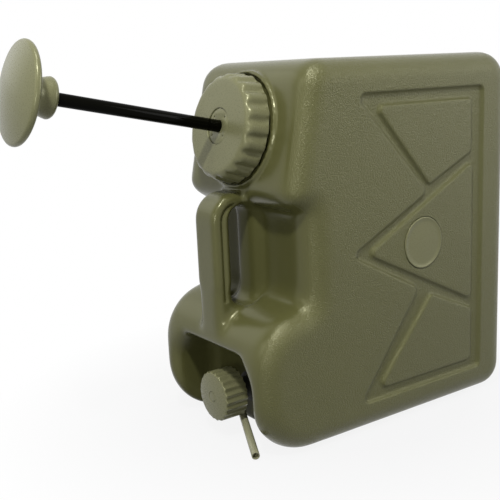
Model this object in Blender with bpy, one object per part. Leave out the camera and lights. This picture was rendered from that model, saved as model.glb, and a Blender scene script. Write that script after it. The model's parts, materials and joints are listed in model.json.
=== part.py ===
"""Water filter jerrycan: a blow-moulded can with a hand pump through its screw cap and a filtered tap.

Metres, +Z up. The can stands on z = 0 with its front towards -Y and its badge side towards +X.
The pump and cap turn about one tilted axis, and the tap about one level axis.
"""

import math

import bmesh
import bpy
from mathutils import Vector

# Can, seen from its side
CAN_WIDTH = 0.205
CAN_DEPTH = 0.365
CAN_HEIGHT = 0.400
RIM_RADIUS = 0.024
OUTER_CORNER = 0.030
FRONT_FOOT_CORNER = 0.065
WALL = 0.0035
SIDE_WALL = 0.0060
LEAN = math.radians(12.0)
FACE_SETBACK = 0.0567
FACE_BELOW_TOP = 0.0696
CHIN_BELOW_TOP = 0.148
CHIN_CORNER = 0.018
NOTCH_DEPTH = 0.0668
NOTCH_CORNER = 0.010
SHOULDER_CORNER = 0.016
SHOULDER_FRONT_CORNER = 0.060
SHOULDER_FRONT = 0.138
SHOULDER_REAR = 0.155

# Grip between the chin and the shoulder
GRIP_WIDTH = 0.040
GRIP_SETBACK = 0.005
GRIP_ABOVE_CHIN = 0.015
GRIP_BEND = 0.028
GRIP_EDGE = 0.006
GRIP_THICKNESS = 0.020
HAND_HOLE_WIDTH = 0.030
HAND_HOLE_ABOVE_CHIN = 0.002
HAND_HOLE_BOTTOM = 0.146
HAND_HOLE_EDGE = 0.003
GROOVE_INSET = 0.0115
GROOVE_RADIUS = 0.0023
GROOVE_BOTTOM = 0.153

# Recess that the tap stands in
RECESS_WIDTH = 0.144
RECESS_TOP_WIDTH = 0.108
RECESS_HEIGHT = 0.104
RECESS_SHOULDER = 0.080
RECESS_DEPTH = 0.058
RECESS_LIP = 0.009
RECESS_CORNER = 0.030
RECESS_TOP_CORNER = 0.010
RECESS_REAR_RADIUS = 0.014

# Stiffening channels pressed into both sides, drawn on a side of the depth and height given here
CHANNEL_DRAWN_DEPTH = 0.365
CHANNEL_DRAWN_HEIGHT = 0.400
CHANNEL_DEPTH = 0.0028
CHANNEL_DRAFT = 0.0022
CHANNEL_CORNER = 0.007
ISLAND_CORNER = 0.004
CHANNEL_OUTLINE = (
    (-0.049, 0.364),
    (0.047, 0.254),
    (-0.062, 0.199),
    (0.033, 0.148),
    (-0.050, 0.033),
    (0.1355, 0.033),
    (0.1365, 0.364),
)
ISLANDS = (
    ((-0.0265, 0.3495), (0.050, 0.2620), (0.1165, 0.2915), (0.1165, 0.3495)),
    ((-0.0395, 0.1975), (0.1190, 0.1205), (0.1190, 0.2790)),
    ((0.0535, 0.1365), (-0.0265, 0.0465), (0.1190, 0.0465), (0.1190, 0.1080)),
)

# Badge, a bare disc in a seat on one side
BADGE_RADIUS = 0.0283
BADGE_THICKNESS = 0.0026
BADGE_PROUD = 0.0010
BADGE_Y = 0.040
BADGE_Z = 0.1985

# Neck and screw cap, measured outwards along the pump's axis from the can's face
COLLAR_RADIUS = 0.0600
COLLAR_HEIGHT = 0.0034
NECK_RADIUS = 0.0470
NECK_BORE = 0.0415
NECK_HEIGHT = 0.0196
GASKET_THICKNESS = 0.0023
CAP_FOOT = 0.0044
CAP_FOOT_RADIUS = 0.0575
CAP_TOP_RADIUS = 0.0550
CAP_BORE = 0.0492
CAP_TOP_WALL = 0.0063
CAP_EDGE = 0.0055
SCALLOPS = 20
SCALLOP_DEPTH = 0.0022

# Pump
ROD_RADIUS = 0.0064
ROD_PILOT = 0.0040
GLAND_RADIUS = 0.0185
GLAND_HEAD = 0.0036
GLAND_INSET = 0.0010
GLAND_STEM_LENGTH = 0.0120
GLAND_HOLES = 4
GLAND_HOLE_RADIUS = 0.0010
GLAND_HOLE_DEPTH = 0.0020
GLAND_LIP = 0.0010
WIPER_RADIUS = 0.0086
WIPER_HEIGHT = 0.0024
BARREL_BORE = 0.0150
BARREL_WALL = 0.0020
BARREL_LENGTH = 0.2220
BARREL_FLANGE_RADIUS = 0.0240
BARREL_FLANGE = 0.0030
FOOT_WALL = 0.0035
FOOT_SLEEVE = 0.0120
FOOT_HOLES = 6
FOOT_HOLE_RADIUS = 0.0022
FLAP_RADIUS = 0.0115
FLAP_THICKNESS = 0.0016
FLAP_STEM = 0.0020
PISTON_LENGTH = 0.0110
PISTON_TOP_GAP = 0.0040
PISTON_SEAL_DEPTH = 0.0026
PISTON_SEAL_HEIGHT = 0.0034
NUT_THICKNESS = 0.0050
NUT_RADIUS = 0.0080
STROKE = 0.176
HUB_CLEARANCE = 0.0042
HUB_RADIUS = 0.0195
HUB_WAIST = 0.0175
HUB_EDGE = 0.0040
HUB_FLARE = 0.0110
HUB_FILLET = 0.0100
HANDLE_RADIUS = 0.0483
HANDLE_RIM = 0.0070
HANDLE_HUB_LENGTH = 0.0280
HANDLE_DOME = 0.0070
HANDLE_SKIRT = 0.0020
ROD_SHY = 0.0040
ROD_EDGE = 0.0010

# Tap, measured outwards from the wall of the recess
TAP_HEIGHT = 0.0460
TAP_SHANK = 0.0110
TAP_SHANK_REACH = 0.0240
TAP_FLANGE_RADIUS = 0.0170
TAP_FLANGE = 0.0035
TAP_BARREL = 0.0120
TAP_INLET = 0.0055
TAP_CHAMBER = 0.0088
SEAT_PLACE = 0.0080
TAP_GASKET_THICKNESS = 0.0012
LOCK_NUT_RADIUS = 0.0175
LOCK_NUT_THICKNESS = 0.0060
BONNET_REACH = 0.0052
BONNET_GAP = 0.0004
BONNET_FLANGE = 0.0020
SPINDLE_RADIUS = 0.0040
SPINDLE_FOOT = 0.0066
SPINDLE_FOOT_THICKNESS = 0.0015
SPINDLE_END = 0.0440
SPINDLE_TRAVEL = 0.0040
TAP_WASHER_RADIUS = 0.0074
TAP_WASHER_THICKNESS = 0.0025
O_RING_HEIGHT = 0.0018
O_RING_DEPTH = 0.0016
KNOB_RADIUS = 0.0275
KNOB_LENGTH = 0.0277
KNOB_GAP = 0.0005
KNOB_RIBS = 22
KNOB_RIB_DEPTH = 0.0013
KNOB_WALL = 0.0032
KNOB_HUB = 0.0085
KNOB_DOME = 0.0015
INSERT_RADIUS = 0.0056
INSERT_DEPTH = 0.0016
SPOUT_PLACE = 0.0160
SPOUT_RADIUS = 0.0060
SPOUT_LENGTH = 0.0190
TUBE_RADIUS = 0.0044
TUBE_WALL = 0.0010
TUBE_SOCKET = 0.0100
TUBE_BEND = 0.0110
TUBE_END_SIDE = 0.0800
TUBE_END_OUT = 0.0550
TUBE_FLOOR_GAP = 0.0020

# Filter cartridge, screwed on the inner end of the tap's shank
CARTRIDGE_RADIUS = 0.0300
CARTRIDGE_LENGTH = 0.1900
COLLAR_NECK_RADIUS = 0.0170
COLLAR_FLANGE = 0.0060
CAGE_WALL = 0.0025
SLEEVE_THICKNESS = 0.0045
CAGE_COLUMNS = 8
CAGE_ROWS = 3
CAGE_SLOT_WIDTH = 0.0110
CAGE_SLOT_LENGTH = 0.0460
SLOT_ROUNDING = 0.9
END_CAP_THICKNESS = 0.0060

# Gaps
FIT = 0.0003
SLIDE_FIT = 0.0004
OVERLAP = 0.004

# Places that follow from the sizes
FRONT_Y = -CAN_DEPTH / 2
REAR_Y = CAN_DEPTH / 2
NOTCH_Y = FRONT_Y + NOTCH_DEPTH
GRIP_Y = FRONT_Y + GRIP_SETBACK
CHIN_HEIGHT = CAN_HEIGHT - CHIN_BELOW_TOP
GRIP_TOP = CHIN_HEIGHT + GRIP_ABOVE_CHIN
HAND_HOLE_TOP = CHIN_HEIGHT + HAND_HOLE_ABOVE_CHIN
FACE_POINT = Vector((0.0, FRONT_Y + FACE_SETBACK, CAN_HEIGHT - FACE_BELOW_TOP))
RECESS_WALL_Y = FRONT_Y + RECESS_DEPTH
NECK_TOP = NECK_HEIGHT
CAP_CEILING = NECK_TOP + FIT + GASKET_THICKNESS + FIT
CAP_TOP = CAP_CEILING + CAP_TOP_WALL
GLAND_TOP = CAP_TOP - GLAND_INSET
GLAND_UNDERSIDE = GLAND_TOP - GLAND_HEAD
GLAND_STEM_END = GLAND_UNDERSIDE - GLAND_STEM_LENGTH
GLAND_STEM = BARREL_BORE - FIT
BARREL_TOP = CAP_CEILING - FIT
BARREL_END = BARREL_TOP - BARREL_LENGTH
BARREL_RADIUS = BARREL_BORE + BARREL_WALL
PISTON_TOP = GLAND_STEM_END - PISTON_TOP_GAP
PISTON_FOOT = PISTON_TOP - PISTON_LENGTH
PISTON_RADIUS = BARREL_BORE - SLIDE_FIT
HUB_END = CAP_TOP + HUB_CLEARANCE + STROKE
HANDLE_BACK = HUB_END + HANDLE_HUB_LENGTH
HANDLE_FRONT = HANDLE_BACK + HANDLE_RIM
ROD_END = HANDLE_FRONT - ROD_SHY
SPINDLE_FOOT_LOW = SEAT_PLACE + FIT + TAP_WASHER_THICKNESS + FIT
SPINDLE_FOOT_HIGH = SPINDLE_FOOT_LOW + SPINDLE_FOOT_THICKNESS
TAP_LENGTH = SPINDLE_FOOT_HIGH + SPINDLE_TRAVEL + BONNET_GAP + BONNET_REACH
KNOB_BACK = TAP_LENGTH + FIT + BONNET_FLANGE + KNOB_GAP
KNOB_FRONT = KNOB_BACK + KNOB_LENGTH

CIRCLE = 20
SMALL_CIRCLE = 16
ARC_STEPS = 5
TUBE_BEND_STEPS = 6
TUBE_SIDES = 12
LEAST_CORNER = 0.3
HOLLOW_GROWTH = 0.5

OLIVE = (0.118, 0.117, 0.056, 1.0)
LIGHT_OLIVE = (0.262, 0.258, 0.160, 1.0)


def clear_scene():
    for obj in list(bpy.data.objects):
        bpy.data.objects.remove(obj)


def material(name, color, roughness, metallic=0.0):
    made = bpy.data.materials.new(name)
    made.use_nodes = True
    shader = made.node_tree.nodes["Principled BSDF"]
    shader.inputs["Base Color"].default_value = color
    shader.inputs["Roughness"].default_value = roughness
    shader.inputs["Metallic"].default_value = metallic
    made.diffuse_color = color
    return made


def finish(name, mesh_data, look=None, parent=None):
    """Makes an object from a bmesh, with its faces pointing outwards."""
    bmesh.ops.recalc_face_normals(mesh_data, faces=mesh_data.faces)
    mesh = bpy.data.meshes.new(name)
    mesh_data.to_mesh(mesh)
    mesh_data.free()
    mesh.shade_smooth()
    mesh.set_sharp_from_angle(angle=math.radians(35))
    obj = bpy.data.objects.new(name, mesh)
    bpy.context.collection.objects.link(obj)
    if look:
        mesh.materials.append(look)
    if parent:
        obj.parent = parent
    return obj


def cutter(obj):
    obj.hide_render = True
    obj.display_type = "WIRE"
    return obj


def boolean(target, tool, operation="DIFFERENCE"):
    modifier = target.modifiers.new(operation.title() + "_" + tool.name, "BOOLEAN")
    modifier.operation = operation
    modifier.solver = "EXACT"
    modifier.object = tool
    return modifier


def empty_at(name, place, turn_x):
    made = bpy.data.objects.new(name, None)
    made.location = place
    made.rotation_euler = (turn_x, 0.0, 0.0)
    bpy.context.collection.objects.link(made)
    return made


def rounded_outline(corners, inset=0.0, steps=ARC_STEPS):
    """Points of a closed outline whose corners (u, v, radius) run counter-clockwise, moved in by inset."""
    points = []
    count = len(corners)
    for index in range(count):
        before = Vector(corners[index - 1][:2])
        here = Vector(corners[index][:2])
        after = Vector(corners[(index + 1) % count][:2])
        along_in = (here - before).normalized()
        along_out = (after - here).normalized()
        normal_in = Vector((-along_in.y, along_in.x))
        normal_out = Vector((-along_out.y, along_out.x))
        turn = along_in.x * along_out.y - along_in.y * along_out.x
        bend = along_in.angle(along_out)
        convex = turn > 0
        drawn = corners[index][2]
        radius = max(drawn - inset, drawn * LEAST_CORNER) if convex else drawn + inset * HOLLOW_GROWTH
        moved = here + (normal_in + normal_out) * (inset / (1 + normal_in.dot(normal_out)))
        reach = radius * math.tan(bend / 2)
        start = moved - along_in * reach
        side = 1 if convex else -1
        centre = start + normal_in * radius * side
        spoke = start - centre
        for step in range(steps + 1):
            angle = side * bend * step / steps
            c, s = math.cos(angle), math.sin(angle)
            turned = Vector((spoke.x * c - spoke.y * s, spoke.x * s + spoke.y * c))
            points.append(centre + turned)
    return points


def loft(name, rings, **extra):
    """A closed body through rings of as many points each, flat at both ends."""
    mesh_data = bmesh.new()
    rows = [[mesh_data.verts.new(point) for point in ring] for ring in rings]
    for row, following in zip(rows, rows[1:]):
        for index in range(len(row)):
            after = (index + 1) % len(row)
            mesh_data.faces.new((row[index], row[after], following[after], following[index]))
    mesh_data.faces.new(rows[0])
    mesh_data.faces.new(list(reversed(rows[-1])))
    return finish(name, mesh_data, **extra)


def rim_steps(radius, steps):
    """(distance from the end, inset) pairs round a quarter circle, from the flat end outwards."""
    pairs = []
    for step in range(steps + 1):
        angle = math.pi / 2 * step / steps
        pairs.append((radius * (1 - math.sin(angle)), radius * (1 - math.cos(angle))))
    return list(reversed(pairs))


def pillow(name, corners, half_width, rim_radius, steps=5, inset=0.0, **extra):
    """An outline in the YZ plane drawn out along X both ways, with its rim rounded on both sides."""
    sections = []
    for distance, dip in rim_steps(rim_radius, steps):
        sections.append((distance - half_width, dip + inset))
    sections += [(-x, dip) for x, dip in reversed(sections)]
    rings = []
    for x, dip in sections:
        rings.append([(x, y, z) for y, z in rounded_outline(corners, dip)])
    return loft(name, rings, **extra)


def turned(name, profile, look=None, parent=None, segments=CIRCLE, wave=None):
    """A profile of (radius, height) points turned about Z: closed on the axis, or a ring if it stays off it."""
    mesh_data = bmesh.new()
    rings = []
    for radius, height in profile:
        if radius <= 0:
            rings.append([mesh_data.verts.new((0.0, 0.0, height))])
            continue
        ring = []
        for step in range(segments):
            angle = 2 * math.pi * step / segments
            here = wave(radius, height, angle) if wave else radius
            ring.append(mesh_data.verts.new((here * math.cos(angle), here * math.sin(angle), height)))
        rings.append(ring)
    pairs = list(zip(rings, rings[1:]))
    if profile[0][0] > 0:
        pairs.append((rings[-1], rings[0]))
    for low, high in pairs:
        for step in range(segments):
            after = (step + 1) % segments
            if len(low) == 1:
                mesh_data.faces.new((low[0], high[after], high[step]))
            elif len(high) == 1:
                mesh_data.faces.new((low[step], low[after], high[0]))
            else:
                mesh_data.faces.new((low[step], low[after], high[after], high[step]))
    return finish(name, mesh_data, look, parent)


def rod(name, radius, low, high, segments=SMALL_CIRCLE, **extra):
    return turned(name, [(0, low), (radius, low), (radius, high), (0, high)], segments=segments, **extra)


def washer(name, bore, radius, low, high, segments=CIRCLE, **extra):
    profile = [(bore, low), (radius, low), (radius, high), (bore, high)]
    return turned(name, profile, segments=segments, **extra)


def hex_nut(name, bore, radius, low, high, **extra):
    """A six-sided nut with a round bore: its sides are flats between corners at the radius."""
    def flats(here, height, angle):
        if here < radius:
            return here
        from_flat = angle % (math.pi / 3) - math.pi / 6
        return radius * math.cos(math.pi / 6) / math.cos(from_flat)

    profile = [(bore, low), (radius, low), (radius, high), (bore, high)]
    return turned(name, profile, segments=24, wave=flats, **extra)


def arc(centre_radius, centre_height, radius, start, end, steps=4):
    """Points of a round edge in a turned profile, from one angle to another in degrees."""
    points = []
    for step in range(steps + 1):
        angle = math.radians(start + (end - start) * step / steps)
        points.append((centre_radius + radius * math.cos(angle), centre_height + radius * math.sin(angle)))
    return points


def face_y(height):
    """Y of the leaning upper face at a height."""
    return FACE_POINT.y + (height - FACE_POINT.z) * math.tan(LEAN)


def can_corners():
    """The can's side outline, counter-clockwise seen from +X."""
    return (
        (FRONT_Y, 0.0, FRONT_FOOT_CORNER),
        (REAR_Y, 0.0, OUTER_CORNER),
        (REAR_Y, CAN_HEIGHT, OUTER_CORNER),
        (face_y(CAN_HEIGHT), CAN_HEIGHT, OUTER_CORNER),
        (face_y(CHIN_HEIGHT), CHIN_HEIGHT, CHIN_CORNER),
        (NOTCH_Y, CHIN_HEIGHT, NOTCH_CORNER),
        (NOTCH_Y, SHOULDER_REAR, SHOULDER_CORNER),
        (FRONT_Y, SHOULDER_FRONT, SHOULDER_FRONT_CORNER),
    )


def grip_corners():
    """The slab that holds the grip: its front shows, and the rest is buried in the can."""
    buried_low = SHOULDER_FRONT - SHOULDER_FRONT_CORNER / 2
    buried_rear = NOTCH_Y + OVERLAP * 4
    return (
        (GRIP_Y, buried_low, GRIP_EDGE + OVERLAP),
        (buried_rear, buried_low, GRIP_EDGE + OVERLAP),
        (buried_rear, GRIP_TOP, GRIP_EDGE + OVERLAP),
        (GRIP_Y, GRIP_TOP, GRIP_BEND),
    )


def hand_hole_corners():
    front = GRIP_Y + GRIP_THICKNESS
    rear = front + HAND_HOLE_WIDTH
    round_end = HAND_HOLE_WIDTH * 0.48
    return (
        (front, HAND_HOLE_BOTTOM, round_end),
        (rear, HAND_HOLE_BOTTOM, round_end),
        (rear, HAND_HOLE_TOP, round_end),
        (front, HAND_HOLE_TOP, round_end),
    )


def hand_hole(name, grow=0.0):
    """The hole's cutter, flared where it meets both sides of the grip."""
    half = GRIP_WIDTH / 2
    edge = HAND_HOLE_EDGE
    sections = [(-half - OVERLAP, -edge - grow)]
    for step in range(4):
        angle = math.pi / 2 * step / 3
        sections.append((-half + edge * math.sin(angle), -edge * (1 - math.sin(angle)) - grow))
    sections += [(-x, dip) for x, dip in reversed(sections)]
    rings = []
    for x, dip in sections:
        rings.append([(x, y, z) for y, z in rounded_outline(hand_hole_corners(), dip)])
    return cutter(loft(name, rings))


def recess_corners():
    half = RECESS_WIDTH / 2
    top = RECESS_TOP_WIDTH / 2
    below = -RECESS_WIDTH / 4
    return (
        (-half, below, RECESS_TOP_CORNER),
        (half, below, RECESS_TOP_CORNER),
        (half, RECESS_SHOULDER, RECESS_CORNER),
        (top, RECESS_HEIGHT, RECESS_TOP_CORNER),
        (-top, RECESS_HEIGHT, RECESS_TOP_CORNER),
        (-half, RECESS_SHOULDER, RECESS_CORNER),
    )


def recess_cutter(name, grow=0.0):
    """The tap recess: open in front and below, with a rounded rear and a rounded lip."""
    sections = []
    for distance, dip in rim_steps(RECESS_REAR_RADIUS, 3):
        sections.append((RECESS_WALL_Y + grow - distance, dip - grow))
    for step in range(4):
        angle = math.pi / 2 * step / 3
        sections.append((FRONT_Y + RECESS_LIP * math.cos(angle), -RECESS_LIP * (1 - math.cos(angle)) - grow))
    sections.append((FRONT_Y - OVERLAP, -RECESS_LIP - grow))
    rings = []
    for y, dip in sections:
        rings.append([(x, y, z) for x, z in rounded_outline(recess_corners(), dip, 4)])
    return cutter(loft(name, rings))


def prism(name, points, radius, x_from, x_to, inset_from, inset_to):
    """A rounded outline in the YZ plane drawn along X, with a draft given by its two insets."""
    along, up = CAN_DEPTH / CHANNEL_DRAWN_DEPTH, CAN_HEIGHT / CHANNEL_DRAWN_HEIGHT
    corners = [(y * along, z * up, radius) for y, z in points]
    rings = []
    for x, dip in ((x_from, inset_from), (x_to, inset_to)):
        rings.append([(x, y, z) for y, z in rounded_outline(corners, dip, 3)])
    return cutter(loft(name, rings))


def channel_cutter(side):
    """The zigzag channel on one side, with three islands left standing in it."""
    surface = CAN_WIDTH / 2
    floor = surface - CHANNEL_DEPTH
    above = surface + OVERLAP
    slope = CHANNEL_DRAFT / CHANNEL_DEPTH
    name = "channel_" + ("right" if side > 0 else "left")
    channel = prism(
        name, CHANNEL_OUTLINE, CHANNEL_CORNER, side * floor, side * above,
        CHANNEL_DRAFT, -slope * OVERLAP,
    )
    for index, island in enumerate(ISLANDS):
        below = floor - OVERLAP
        top = above + OVERLAP
        cut = prism(
            name + "_island_" + str(index + 1), island, ISLAND_CORNER, side * below, side * top,
            -CHANNEL_DRAFT - slope * OVERLAP, slope * OVERLAP * 2,
        )
        boolean(channel, cut)
    return channel


def groove_cutter(side):
    """The fine groove that follows the grip's outline on one side."""
    front = GRIP_Y + GROOVE_INSET
    bend = GRIP_BEND - GROOVE_INSET
    centre = Vector((front + bend, GRIP_TOP - GROOVE_INSET - bend))
    path = [Vector((front, GROOVE_BOTTOM)), Vector((front, centre.y))]
    for step in range(1, 6):
        angle = math.pi - math.pi / 2 * step / 6
        path.append(centre + Vector((math.cos(angle), math.sin(angle))) * bend)
    x = side * GRIP_WIDTH / 2
    rings = []
    for index, point in enumerate(path):
        before = path[max(index - 1, 0)]
        after = path[min(index + 1, len(path) - 1)]
        along = (after - before).normalized()
        across = Vector((-along.y, along.x))
        ring = []
        for step in range(6):
            angle = 2 * math.pi * step / 6
            place = point + across * GROOVE_RADIUS * math.cos(angle)
            ring.append((x + GROOVE_RADIUS * math.sin(angle), place.x, place.y))
        rings.append(ring)
    return cutter(loft("groove_" + ("right" if side > 0 else "left"), rings))


def neck_solid(parent):
    """The collar and the neck that the cap screws on, as one turned shape rising from the can's face."""
    buried = -0.012
    edge = 0.0016
    profile = [(0, buried), (COLLAR_RADIUS, buried), (COLLAR_RADIUS, COLLAR_HEIGHT - edge)]
    profile += arc(COLLAR_RADIUS - edge, COLLAR_HEIGHT - edge, edge, 30, 90, 2)
    profile += [(NECK_RADIUS, COLLAR_HEIGHT), (NECK_RADIUS, NECK_TOP - edge), (NECK_RADIUS - edge, NECK_TOP)]
    profile += [(0, NECK_TOP)]
    return cutter(turned("neck_solid", profile, parent=parent, segments=48))


def cavity():
    """The can's inside: smaller copies of the same shapes, joined, with room left round the tap recess."""
    inside = pillow(
        "cavity", can_corners(), CAN_WIDTH / 2 - SIDE_WALL, RIM_RADIUS - WALL,
        steps=3, inset=WALL,
    )
    grip = pillow(
        "grip_cavity", grip_corners(), GRIP_WIDTH / 2 - WALL, GRIP_EDGE - WALL / 2,
        steps=2, inset=WALL,
    )
    boolean(cutter(grip), hand_hole("hand_hole_grown", WALL))
    boolean(inside, grip, "UNION")
    boolean(inside, recess_cutter("recess_grown", WALL))
    return cutter(inside)


def build_can(look, pump_axis, tap_axis):
    can = pillow("can_body", can_corners(), CAN_WIDTH / 2, RIM_RADIUS, look=look)
    slab = cutter(pillow("grip_slab", grip_corners(), GRIP_WIDTH / 2, GRIP_EDGE, steps=3))
    boolean(can, slab, "UNION")
    boolean(can, neck_solid(pump_axis), "UNION")
    boolean(can, hand_hole("hand_hole"))
    boolean(can, recess_cutter("tap_recess"))
    for side in (1, -1):
        boolean(can, channel_cutter(side))
        boolean(can, groove_cutter(side))
    seat = rod("badge_seat", BADGE_RADIUS + FIT * 2, 0.0, OVERLAP * 2, segments=48)
    seat.rotation_euler = (0.0, math.pi / 2, 0.0)
    seat.location = (CAN_WIDTH / 2 - BADGE_THICKNESS + BADGE_PROUD - FIT, BADGE_Y, BADGE_Z)
    boolean(can, cutter(seat))
    boolean(can, cavity())
    bore = rod("neck_bore", NECK_BORE, -0.030, NECK_TOP + OVERLAP, segments=48, parent=pump_axis)
    boolean(can, cutter(bore))
    hole = rod("tap_hole", TAP_SHANK + FIT, -OVERLAP * 3, OVERLAP * 2, parent=tap_axis)
    boolean(can, cutter(hole))
    return can


def build_badge(look):
    edge = 0.0006
    profile = [(0, 0), (BADGE_RADIUS, 0), (BADGE_RADIUS, BADGE_THICKNESS - edge)]
    profile += [(BADGE_RADIUS - edge, BADGE_THICKNESS), (0, BADGE_THICKNESS)]
    badge = turned("side_badge", profile, look=look, segments=48)
    badge.rotation_euler = (0.0, math.pi / 2, 0.0)
    badge.location = (CAN_WIDTH / 2 - BADGE_THICKNESS + BADGE_PROUD, BADGE_Y, BADGE_Z)


def scallop(radius, height, angle):
    """Finger scallops round the cap's skirt, fading out at its top edge."""
    if radius < CAP_BORE + 0.001:
        return radius
    fade = min(1.0, max(0.0, (CAP_TOP - height) / CAP_EDGE))
    return radius - SCALLOP_DEPTH * fade * (0.5 - 0.5 * math.cos(SCALLOPS * angle))


def build_cap(looks, pump_axis):
    light, rubber = looks["light_olive"], looks["rubber"]
    counterbore = GLAND_RADIUS + FIT
    shoulder = GLAND_UNDERSIDE - FIT
    profile = [
        (CAP_BORE, CAP_FOOT), (CAP_FOOT_RADIUS, CAP_FOOT),
    ]
    profile += arc(CAP_TOP_RADIUS - CAP_EDGE, CAP_TOP - CAP_EDGE, CAP_EDGE, 0, 90)
    profile += [
        (counterbore, CAP_TOP), (counterbore, shoulder), (BARREL_BORE, shoulder),
        (BARREL_BORE, CAP_CEILING), (CAP_BORE, CAP_CEILING),
    ]
    turned("main_cap", profile, light, pump_axis, segments=SCALLOPS * 4, wave=scallop)
    washer(
        "cap_gasket", NECK_BORE + FIT, NECK_RADIUS, NECK_TOP + FIT, NECK_TOP + FIT + GASKET_THICKNESS,
        look=rubber, parent=pump_axis,
    )


def build_gland(looks, pump_axis):
    bore = ROD_RADIUS + FIT
    lip = GLAND_TOP - GLAND_LIP
    pocket = lip - WIPER_HEIGHT - FIT * 2
    profile = [
        (bore, GLAND_STEM_END), (GLAND_STEM, GLAND_STEM_END), (GLAND_STEM, GLAND_UNDERSIDE),
        (GLAND_RADIUS, GLAND_UNDERSIDE), (GLAND_RADIUS, GLAND_TOP), (bore, GLAND_TOP), (bore, lip),
        (WIPER_RADIUS + FIT, lip), (WIPER_RADIUS + FIT, pocket), (bore, pocket),
    ]
    gland = turned("rod_gland", profile, looks["light_olive"], pump_axis)
    ring = (GLAND_RADIUS + WIPER_RADIUS) / 2
    for index in range(GLAND_HOLES):
        angle = 2 * math.pi * (index + 0.5) / GLAND_HOLES
        hole = rod(
            "gland_hole_" + str(index + 1), GLAND_HOLE_RADIUS, GLAND_TOP - GLAND_HOLE_DEPTH,
            GLAND_TOP + OVERLAP, segments=10, parent=pump_axis,
        )
        hole.location = (ring * math.cos(angle), ring * math.sin(angle), 0.0)
        boolean(gland, cutter(hole))
    washer(
        "rod_wiper_seal", bore, WIPER_RADIUS, pocket + FIT, lip - FIT,
        look=looks["rubber"], parent=pump_axis,
    )


def build_barrel(looks, pump_axis):
    flange_low = BARREL_TOP - BARREL_FLANGE
    profile = [
        (BARREL_BORE, BARREL_END), (BARREL_RADIUS, BARREL_END), (BARREL_RADIUS, flange_low),
        (BARREL_FLANGE_RADIUS, flange_low), (BARREL_FLANGE_RADIUS, BARREL_TOP), (BARREL_BORE, BARREL_TOP),
    ]
    turned("pump_barrel", profile, looks["clear_plastic"], pump_axis)
    inner = BARREL_RADIUS + FIT
    outer = inner + BARREL_WALL
    floor_top = BARREL_END - FIT
    floor = floor_top - FOOT_WALL
    sleeve = BARREL_END + FOOT_SLEEVE
    hole = FLAP_STEM + FIT
    profile = [
        (hole, floor), (outer, floor), (outer, sleeve), (inner, sleeve), (inner, floor_top), (hole, floor_top),
    ]
    foot = turned("barrel_foot", profile, looks["black_plastic"], pump_axis)
    ring = FLAP_RADIUS * 0.62
    for index in range(FOOT_HOLES):
        angle = 2 * math.pi * (index + 0.25) / FOOT_HOLES
        vent = rod(
            "foot_hole_" + str(index + 1), FOOT_HOLE_RADIUS, floor - OVERLAP, floor_top + OVERLAP,
            segments=10, parent=pump_axis,
        )
        vent.location = (ring * math.cos(angle), ring * math.sin(angle), 0.0)
        boolean(foot, cutter(vent))
    top = floor - FIT
    bead = FLAP_STEM + 0.0012
    profile = [
        (0, top - FLAP_THICKNESS * 1.5), (FLAP_RADIUS * 0.5, top - FLAP_THICKNESS * 1.3),
        (FLAP_RADIUS, top - 0.0005), (FLAP_RADIUS, top), (FLAP_STEM, top),
        (FLAP_STEM, floor_top + FIT), (bead, floor_top + FIT), (FLAP_STEM, floor_top + 0.0040),
        (0, floor_top + 0.0046),
    ]
    turned("valve_flap", profile, looks["rubber"], pump_axis, segments=SMALL_CIRCLE)


def build_plunger(looks, pump_axis):
    light = looks["light_olive"]
    thread_end = PISTON_FOOT - NUT_THICKNESS - FIT - 0.0015
    profile = [
        (0, thread_end), (ROD_PILOT, thread_end), (ROD_PILOT, PISTON_TOP + FIT),
        (ROD_RADIUS, PISTON_TOP + FIT), (ROD_RADIUS, ROD_END - ROD_EDGE), (ROD_RADIUS - ROD_EDGE, ROD_END),
        (0, ROD_END),
    ]
    turned("pump_rod", profile, looks["black_gloss"], pump_axis, segments=32)

    groove = PISTON_RADIUS - PISTON_SEAL_DEPTH
    seal_low = (PISTON_TOP + PISTON_FOOT - PISTON_SEAL_HEIGHT) / 2
    seal_high = seal_low + PISTON_SEAL_HEIGHT
    bore = ROD_PILOT + FIT
    profile = [
        (bore, PISTON_FOOT), (PISTON_RADIUS, PISTON_FOOT), (PISTON_RADIUS, seal_low - FIT),
        (groove, seal_low - FIT), (groove, seal_high + FIT), (PISTON_RADIUS, seal_high + FIT),
        (PISTON_RADIUS, PISTON_TOP), (bore, PISTON_TOP),
    ]
    turned("pump_piston", profile, looks["black_plastic"], pump_axis)
    washer(
        "piston_seal", groove + FIT, BARREL_BORE - FIT, seal_low, seal_high,
        look=looks["rubber"], parent=pump_axis,
    )
    nut_high = PISTON_FOOT - FIT
    hex_nut(
        "piston_nut", bore, NUT_RADIUS, nut_high - NUT_THICKNESS, nut_high,
        look=looks["steel"], parent=pump_axis,
    )

    edge = HANDLE_RIM / 2
    socket = ROD_RADIUS + FIT
    fillet_height = HANDLE_BACK - HANDLE_SKIRT - HUB_FILLET
    profile = [(socket, HUB_END)]
    profile += arc(HUB_RADIUS - HUB_EDGE, HUB_END + HUB_EDGE, HUB_EDGE, -90, 0)
    profile.append((HUB_WAIST, HUB_END + HUB_FLARE))
    profile += arc(HUB_WAIST + HUB_FILLET, fillet_height, HUB_FILLET, 180, 100)
    profile += arc(HANDLE_RADIUS - edge, HANDLE_BACK + edge, edge, -75, 75, 5)
    dome_from = HANDLE_RADIUS - edge
    for share in (0.75, 0.5, 0.25):
        profile.append((dome_from * share, HANDLE_FRONT + HANDLE_DOME * (1 - share**2)))
    profile += [(0, HANDLE_FRONT + HANDLE_DOME), (0, ROD_END + FIT), (socket, ROD_END + FIT)]
    handle_body(profile, light, pump_axis)


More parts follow.
